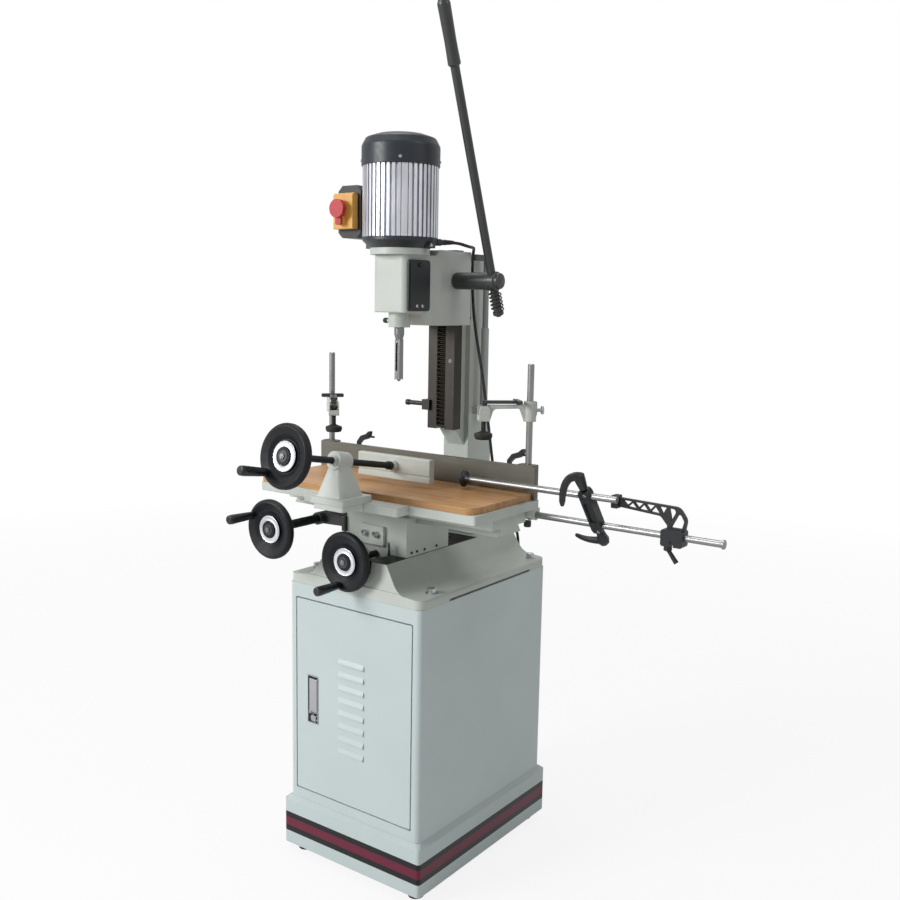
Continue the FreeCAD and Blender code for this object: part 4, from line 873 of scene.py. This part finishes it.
def clamp_lever(shape, matrix, hub, sweep, radii):
    """Faceted hub on the link's axis with a curved handle that leaves its far end."""
    add_turned(shape, hub, matrix, HUB_FACETS)
    add_swept(shape, smooth_path(sweep), tapered(*radii), matrix, LEVER_FLAT)


def link_levers():
    """The two clamping levers on the link's ends, and the screws beside them."""
    link = Matrix.Translation(LINK_MIDDLE) @ Matrix.Rotation(LINK_SLANT, 4, "X")
    top = piece("link_lever_top", "plastic", "link_lever_top", "black_plastic", clamp_lever,
                (link, TOP_HUB, TOP_SWEEP, TOP_RADII))
    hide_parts("stop_lever_top")
    low = piece("link_lever_low", "plastic", "link_lever_low", "black_plastic", clamp_lever,
                (link, LOW_HUB, LOW_SWEEP, LOW_RADII))
    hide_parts("stop_lever_low")
    screws = [(link @ at(mm(*place), FRONT), *LINK_SCREW) for place in LINK_SCREW_PLACES]
    piece("link_screws", "screw", "link", "bright_steel", socket_head, *screws)


# ------------------------------------------------------------------ rods and posts

LOWER_ROD_START, UPPER_ROD_START = mm(180, -13.6, 835), mm(159, -66, 903)
LOWER_ROD = [(0, 0), (7, 0), (7, 553), (8.6, 553), (9.5, 554), (9.5, 557), (8.6, 558), (0, 558)]
UPPER_ROD = [(0, 0), (13, 0), (15, 1.4), (16.5, 3), (18, 4.5), (18, 6), (16.6, 8), (9.6, 11.4),
             (9, 13), (9, 23), (8, 24), (7, 24), (7, 374.2), (6.2, 375), (0, 375)]
POST_CHAMFER = 1.4


def round_rods():
    """The bright rods and posts, as round as ground bar is."""
    rods = [("lower_rod_bar", "rod", "lower_rod", "stop_rod_lower", LOWER_ROD,
             at(LOWER_ROD_START, RIGHT)),
            ("upper_rod_bar", "padded_rod", "upper_rod", "stop_rod_upper", UPPER_ROD,
             at(UPPER_ROD_START, RIGHT))]
    for side in ("left", "right"):
        node = "hold_post_" + side
        low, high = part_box(node)
        radius, height = (high[0] - low[0]) / 2 / MM, (high[2] - low[2]) / MM
        profile = [(0, 0), (radius, 0), (radius, height - POST_CHAMFER),
                   (radius - POST_CHAMFER, height), (0, height)]
        foot = Vector(((low[0] + high[0]) / 2, (low[1] + high[1]) / 2, low[2]))
        rods.append(("post_bar_" + side, "rod", "post_" + side, node, profile, at(foot)))
    for name, finish, body, node, profile, matrix in rods:
        bar = piece(name, finish, body, "bright_steel", add_turned,
                    (profile, matrix, ROUND_STEPS))
        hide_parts(node)


# ------------------------------------------------------------------ small iron

EAR_OUTLINE = [(60, -9), (80, -9), (86, -5), (86, 5), (80, 9), (60, 9)]
EAR_HEIGHTS = (1396.4, 1418.4)
EAR_CHAMFER = 1.0
EAR_SCREW_PLACE, EAR_SCREW_AXIS = mm(83.4, -7, 1402), (0.6, -0.8, 0)
EAR_SCREW = (3.4, 2.6)

NOSE_KNOB_PLACE = mm(-33.6, MOTOR_Y, 1240)
NOSE_KNOB = [(0, 0), (5.2, 0), (6, 1), (6, 8), (5, 9.6), (0, 10)]
KEEPER_BOLT_PLACES = [(x, 98, z) for x in (-50, 50) for z in (1247, 1370)]
KEEPER_BOLT = (5.2, 5.0)

WAY_PLUG_OUTLINE = [(-12.1, 66), (12.1, 66), (12.1, 81.5), (-12.1, 81.5)]
WAY_PLUG_HEIGHTS = (1396.0, 1398.6)
WAY_PLUG_CHAMFER = 0.8
WAY_SCREW_PLACE = mm(25.5, 62.68, 1147)
WAY_SCREW = [(2.0, 0), (4.2, 0), (4.2, 0.14), (2.0, 0.14), (2.0, 0)]

STRUT_FOOT = mm(60, 154, 0)
STRUT_SLEEVE = [(7.4, 1036), (9.2, 1036), (9.2, 1221), (8.8, 1223), (7.4, 1223), (7.4, 1036)]

SLIDE_LOCK = [(50, -183.5, 735), (52, -184, 745), (51, -184, 755), (49, -184, 764)]
SLIDE_LOCK_RADII = (3.4, 2.4)

ROD_COLLAR_PLACE = mm(300.4, -13.6, 835)
ROD_COLLAR = [(7.6, 0), (12.5, 0), (12.5, 6), (11.6, 7), (7.6, 7), (7.6, 0)]
ROD_KNOB_PLACE = mm(296, -13.6, 820)
ROD_KNOB = [(0, 0), (7.6, 0), (8, 1), (8, 12), (7, 14), (0, 14.4)]
ROD_KNOB_FACETS = 12


def flange_ears():
    """Ears on the two sides of the motor's flange with the screws that hold the motor."""
    ears, screws = [], []
    for half in range(2):
        turn = at(mm(0, MOTOR_Y, 0), spin=math.pi * half + MOTOR_TURN)
        ears.append((EAR_OUTLINE, *EAR_HEIGHTS, turn, EAR_CHAMFER))
        screws.append((turn @ at(EAR_SCREW_PLACE, EAR_SCREW_AXIS), *EAR_SCREW))
    piece("flange_ears", "cowl", "head", "black_steel", add_prism, *ears)
    piece("flange_screws", "screw", "head", "bright_steel", socket_head, *screws)


def head_iron():
    """Knob on the spindle nose and bolts of the keeper strips."""
    piece("nose_knob", "plastic", "head", "black_plastic", add_turned,
          (NOSE_KNOB, at(NOSE_KNOB_PLACE, LEFT), SMALL_STEPS))
    bolts = [(at(mm(*place), BACK), *KEEPER_BOLT) for place in KEEPER_BOLT_PLACES]
    piece("keeper_bolts", "oxide", "head", "black_steel", socket_head, *bolts)


def column_iron():
    """Plug in the top of the way's groove, the way's flush screw, and the strut's pale sleeve."""
    piece("way_plug", "foot", "frame", "black_rubber", add_prism,
          (WAY_PLUG_OUTLINE, *WAY_PLUG_HEIGHTS, Matrix(), WAY_PLUG_CHAMFER))
    piece("way_screw", "chisel", "frame", "dark_iron", add_turned,
          (WAY_SCREW, at(WAY_SCREW_PLACE, FRONT), SCREW_STEPS))
    piece("strut_sleeve", "sleeve", "frame", "bright_steel", add_turned,
          (STRUT_SLEEVE, at(STRUT_FOOT)))


def slide_iron():
    """Locking lever of the saddle's slide, and collar and knob of the lower rod's socket."""
    piece("slide_lock", "oxide", "saddle", "black_steel", add_swept,
          (smooth_path(SLIDE_LOCK), tapered(*SLIDE_LOCK_RADII), Matrix(), LEVER_FLAT))
    piece("rod_collar", "oxide", "table", "black_steel", add_turned,
          (ROD_COLLAR, at(ROD_COLLAR_PLACE, RIGHT)))
    piece("rod_knob", "plastic", "table", "black_plastic", add_turned,
          (ROD_KNOB, at(ROD_KNOB_PLACE, DOWN), ROD_KNOB_FACETS))


# ------------------------------------------------------------------ mains lead

LEAD_ROUTE = [
    (78.35, -36.72, 1411), (100.15, -20.78, 1411), (106, 12, 1404.5), (98, 46, 1403.5),
    (79, 74, 1402), (61.8, 97, 1399), (44, 118, 1381), (42.5, 123, 1328),
    (52, 115, 1262), (66, 112, 1195), (82, 112, 1125),
    (96, 110, 1055), (106, 112, 985), (114, 117, 915), (117, 128, 850), (113, 154, 796),
    (109, 194, 760), (103, 240, 742), (97, 270, 696), (91, 276, 615), (85, 273, 530),
    (78, 275, 445), (72, 272, 360), (65, 275, 275), (60, 277, 195), (57, 284, 130),
    (50, 300, 72), (30, 330, 30), (-12, 356, 4.5), (-57, 366, 4.0),
]
LEAD_RADIUS = 3.5
LEAD_SLEEVE = [(3.6, -1), (6.0, -1), (6.0, 3), (5.2, 4), (5.2, 6), (5.6, 7), (5.0, 8.5),
               (5.0, 10), (5.3, 11), (4.6, 12.5), (4.6, 14), (4.9, 15), (4.2, 17), (3.6, 21)]
LEAD_SLEEVE_STEPS = 28
COIL_CENTRE = (-48.0, 405.0)
# radius and height of the lead's middle at the start of each turn
COIL_LAYERS = [(47.2, 3.9), (40.0, 3.9), (32.8, 3.9), (36.4, 10.0), (43.6, 10.0), (46.0, 16.5)]
COIL_START, COIL_END = -103.0, 180.0
COIL_STEP = 30.0
PLUG_RUN = [(-94.0, 396.0, 17.7), (-94.0, 406.0, 18.3), (-94.0, 417.0, 18.3)]


def coil_points():
    """The spare lead's turns, each a little off the one before, ending at the plug."""
    turns = len(COIL_LAYERS) - 1
    whole = 360.0 * turns + COIL_START + COIL_END
    count = round(whole / COIL_STEP)
    points = []
    for step in range(1, count):
        gone = whole * step / count
        layer = min(gone / 360.0, turns - 0.01)
        low = int(layer)
        share = layer - low
        share = share * share * (3 - 2 * share)
        radius = COIL_LAYERS[low][0] * (1 - share) + COIL_LAYERS[low + 1][0] * share
        height = COIL_LAYERS[low][1] * (1 - share) + COIL_LAYERS[low + 1][1] * share
        angle = math.radians(COIL_START - gone)
        points.append((COIL_CENTRE[0] + radius * math.cos(angle),
                       COIL_CENTRE[1] + radius * math.sin(angle), height))
    return points + PLUG_RUN


def lead_curve(points, radius):
    """A smooth curve that the lead's control points steer."""
    data = bpy.data.curves.new("lead_line", "CURVE")
    data.dimensions = "3D"
    spline = data.splines.new("NURBS")
    spline.points.add(len(points) - 1)
    for control, point in zip(spline.points, points):
        control.co = (*mm(*point), 1.0)
    spline.order_u = 3
    spline.use_endpoint_u = True
    spline.resolution_u = 8
    data.bevel_depth = radius * MM
    data.bevel_resolution = 3
    data.use_fill_caps = radius > 0
    return bpy.data.objects.new("lead_line", data)


def mesh_of(curve):
    """The mesh that a curve evaluates to."""
    bpy.context.scene.collection.objects.link(curve)
    graph = bpy.context.evaluated_depsgraph_get()
    data = bpy.data.meshes.new_from_object(curve.evaluated_get(graph))
    bpy.data.objects.remove(curve)
    return data


def mains_lead():
    """The lead from the motor to the coil and its plug, and the sleeve where it leaves."""
    points = LEAD_ROUTE + coil_points()
    line = mesh_of(lead_curve(points, 0))
    data = mesh_of(lead_curve(points, LEAD_RADIUS))
    data.name = "mains_lead"
    data.shade_smooth()
    lead = bpy.data.objects.new("mains_lead", data)
    bpy.context.scene.collection.objects.link(lead)
    dress(lead, "lead")
    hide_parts("power_cord", "cord_coil")
    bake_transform(lead)
    start, ahead = mm(*LEAD_ROUTE[0]), mm(*LEAD_ROUTE[1])
    piece("lead_sleeve", "lead", "head", "cord_rubber", add_turned,
          (LEAD_SLEEVE, at(start, ahead - start), LEAD_SLEEVE_STEPS))


# ------------------------------------------------------------------ studio

MACHINE_MIDDLE, HEAD_MIDDLE = mm(0, -100, 900), mm(0, -100, 1350)
# name, place in metres, target, size in metres and power in watts
LIGHTS = [
    ("key_light", (-1.9, -3.9, 2.5), MACHINE_MIDDLE, 1.8, 150),
    ("side_light", (2.2, 0.2, 2.9), HEAD_MIDDLE, 1.2, 11),
    ("top_light", (-0.6, 0.0, 4.2), MACHINE_MIDDLE, 2.0, 55),
]
WORLD_FILL = 0.24
MIRRORED = 0.6
FLOOR_REACH = 14.0
FLOOR_GREY = (0.86, 0.86, 0.86, 1)
# share of plain white in the floor, at the two distances in metres below it
FLOOR_WHITE = (0.86, 1.0)
FLOOR_FADE = (0.9, 4.5)


def add_area(name, place, target, size, power):
    """A square soft box aimed at a point."""
    data = bpy.data.lights.new(name, "AREA")
    data.size = size
    data.energy = power
    item = bpy.data.objects.new(name, data)
    item.location = place
    item.rotation_mode = "QUATERNION"
    item.rotation_quaternion = (target - Vector(place)).to_track_quat("-Z", "Y")
    bpy.context.scene.collection.objects.link(item)


def seen_directly(tree):
    """1 where the camera or clear glass sees the surface, a share of it in reflections, else 0."""
    path = tree.nodes.new("ShaderNodeLightPath").outputs
    direct = math_node(tree, "MAXIMUM", path["Is Camera Ray"], path["Is Transmission Ray"])
    glossy = math_node(tree, "MULTIPLY", path["Is Glossy Ray"], MIRRORED)
    return math_node(tree, "MAXIMUM", direct, glossy)


def add_world():
    """White to the camera, and a plain soft grey to everything else."""
    world = bpy.data.worlds.new("studio_world")
    bpy.context.scene.world = world
    world.use_nodes = True
    tree = world.node_tree
    background = tree.nodes["Background"]
    strength = tree.nodes.new("ShaderNodeMapRange")
    strength.inputs["To Min"].default_value = WORLD_FILL
    strength.inputs["To Max"].default_value = 1.0
    tree.links.new(seen_directly(tree), strength.inputs["Value"])
    tree.links.new(strength.outputs["Result"], background.inputs["Strength"])
    background.inputs["Color"].default_value = ALL


def add_floor():
    """Plain pale floor that keeps the machine's shadow and fades to white far off."""
    data = bpy.data.meshes.new("studio_floor")
    corners = [(x * FLOOR_REACH, y * FLOOR_REACH, 0)
               for x, y in ((-1, -1), (1, -1), (1, 1), (-1, 1))]
    data.from_pydata(corners, [], [(0, 1, 2, 3)])
    floor = bpy.data.objects.new("studio_floor", data)
    bpy.context.scene.collection.objects.link(floor)
    paint = Finish("studio_floor", FLOOR_GREY, 0.9)
    paint.put("Specular IOR Level", 0.1)
    glow = paint.add("ShaderNodeEmission")
    glow.inputs["Color"].default_value = ALL
    away = paint.add("ShaderNodeVectorMath", operation="LENGTH")
    paint.join(paint.places, away.inputs[0])
    white = paint.spread(away.outputs["Value"], *FLOOR_WHITE, *FLOOR_FADE)
    blend = paint.add("ShaderNodeMixShader")
    paint.join(paint.both("MULTIPLY", seen_directly(paint.tree), white), blend.inputs["Fac"])
    paint.join(paint.shader.outputs["BSDF"], blend.inputs[1])
    paint.join(glow.outputs["Emission"], blend.inputs[2])
    paint.join(blend.outputs["Shader"], paint.tree.nodes["Material Output"].inputs["Surface"])
    data.materials.append(paint.material)


def add_studio():
    """Large key light on the left front, a weak one on the right and one above."""
    bpy.context.scene.view_settings.view_transform = "Standard"
    for light in LIGHTS:
        add_area(*light)
    add_world()
    add_floor()


add_camera()
mains_lead()
dress_nodes()
dress_wheels()
base_bolts()
saddle_screws()
head_screws()
link_levers()
round_rods()
flange_ears()
head_iron()
column_iron()
slide_iron()
add_studio()
